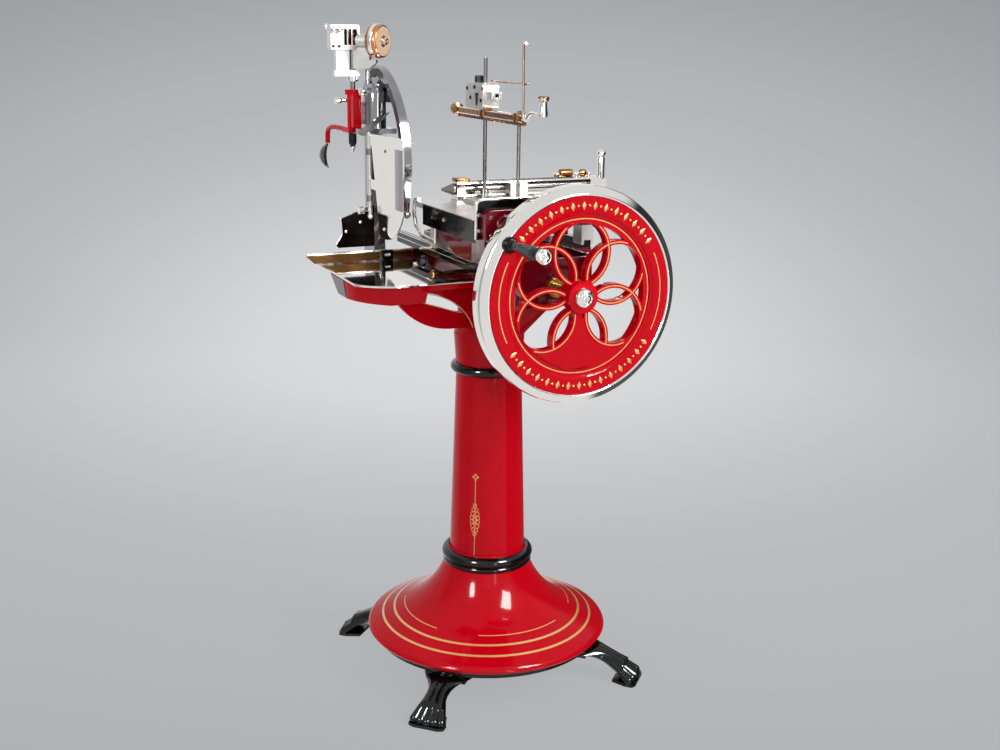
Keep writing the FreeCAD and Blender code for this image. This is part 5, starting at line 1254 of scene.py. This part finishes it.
    def backdrop(self) -> None:
        """Make the floor, which bends up into a wall far behind."""
        bend = np.radians(np.linspace(6, 90, 15))
        far = np.concatenate([np.linspace(-4500, 3300, 12), 3300 + 900 * np.sin(bend), np.full(8, 4200.0)])[:, None]
        high = np.concatenate([np.zeros(12), 900 - 900 * np.cos(bend), np.linspace(1200, 7000, 8)])[:, None]
        across = np.linspace(-8000, 8000, 17)[None, :]
        aim = atan2(self.forward[1], self.forward[0])
        x = far * cos(aim) + across * sin(aim)
        y = far * sin(aim) - across * cos(aim)
        patch = grid(spots(x, y, high) * MM, wrap_cols=False)
        mesh = bpy.data.meshes.new("studio_floor")
        mesh.from_pydata(patch.verts.tolist(), [], patch.quads.tolist())
        mesh.shade_smooth()
        floor = placed("studio_floor", mesh)
        mesh.materials.append(self.paper())

    def lamp(self, name: str, azimuth: float, distance: float, height: float, size: Pair,
             radiance: float, only_gloss: bool = False) -> None:
        """Hang a softbox round the object, facing it.

        Args:
            name: the lamp's name.
            azimuth: degrees to the right of the camera, seen from the object.
            distance: metres from the object's axis.
            height: metres over the floor.
            size: width and height in metres.
            radiance: brightness of its face, where 1 shows as white.
            only_gloss: it shows in gloss and adds no other light; without it, the other way round.
        """
        base = atan2(-self.forward[1], -self.forward[0]) + radians(azimuth)
        spot = Vector((cos(base) * distance, sin(base) * distance, height))
        light = bpy.data.lights.new(name, "AREA")
        light.shape, light.size, light.size_y = "RECTANGLE", size[0], size[1]
        light.energy = radiance * pi * size[0] * size[1]
        holder = placed(name, light)
        holder.visible_diffuse, holder.visible_glossy = not only_gloss, only_gloss
        turn = (Vector((0, 0, self.aim_z)) - spot).to_track_quat("-Z", "Y").to_matrix().to_4x4()
        holder.matrix_world = Matrix.Translation(spot) @ turn

    def world(self) -> None:
        """Light the room evenly; gloss sees it brighter, with its gloom."""
        room = bpy.data.worlds.new("studio_room")
        bpy.context.scene.world = room
        nodes = Nodes(room)
        dark = self.gloom(nodes, nodes.add("TexCoord", output="Generated"))
        shown = nodes.remap(dark, self.roof_level, self.dark_room)
        level = nodes.add("Mix", {0: nodes.add("LightPath", output="Is Glossy Ray"), 2: self.room_level, 3: shown})
        glow = nodes.add("Background", {"Color": linear("#F2F4F6"), "Strength": level})
        nodes.add("OutputWorld", {"Surface": glow})

    def build(self) -> None:
        """Build the studio."""
        self.backdrop()
        self.camera()
        self.world()
        self.lamp("key_softbox", 62, 2.6, 1.9, (1.2, 1.6), 7.0)
        self.lamp("fill_softbox", -74, 2.8, 1.7, (1.2, 1.6), 3.2)
        self.lamp("front_softbox", 8, 3.6, 2.0, (1.4, 1.2), 5.5)
        self.lamp("strip_light", 22, 3.0, 1.0, (0.3, 1.8), 6.0, only_gloss=True)
        self.lamp("window_right", 48, 3.0, 3.2, (1.1, 1.5), 80.0, only_gloss=True)
        self.lamp("window_left", -34, 3.2, 2.4, (0.6, 1.1), 80.0, only_gloss=True)
        bpy.context.scene.view_settings.view_transform = "Standard"


def main() -> None:
    """Build every sub-assembly, then the studio."""
    logging.basicConfig(level=logging.INFO, format="%(name)s %(message)s")
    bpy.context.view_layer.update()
    for assembly in (Pedestal(), Flywheel(), Bed(), BladeSide(), Carriage(), Sharpener(), Studio()):
        log.info("building %s", type(assembly).__name__)
        assembly.build()


if __name__ == "__main__":
    main()
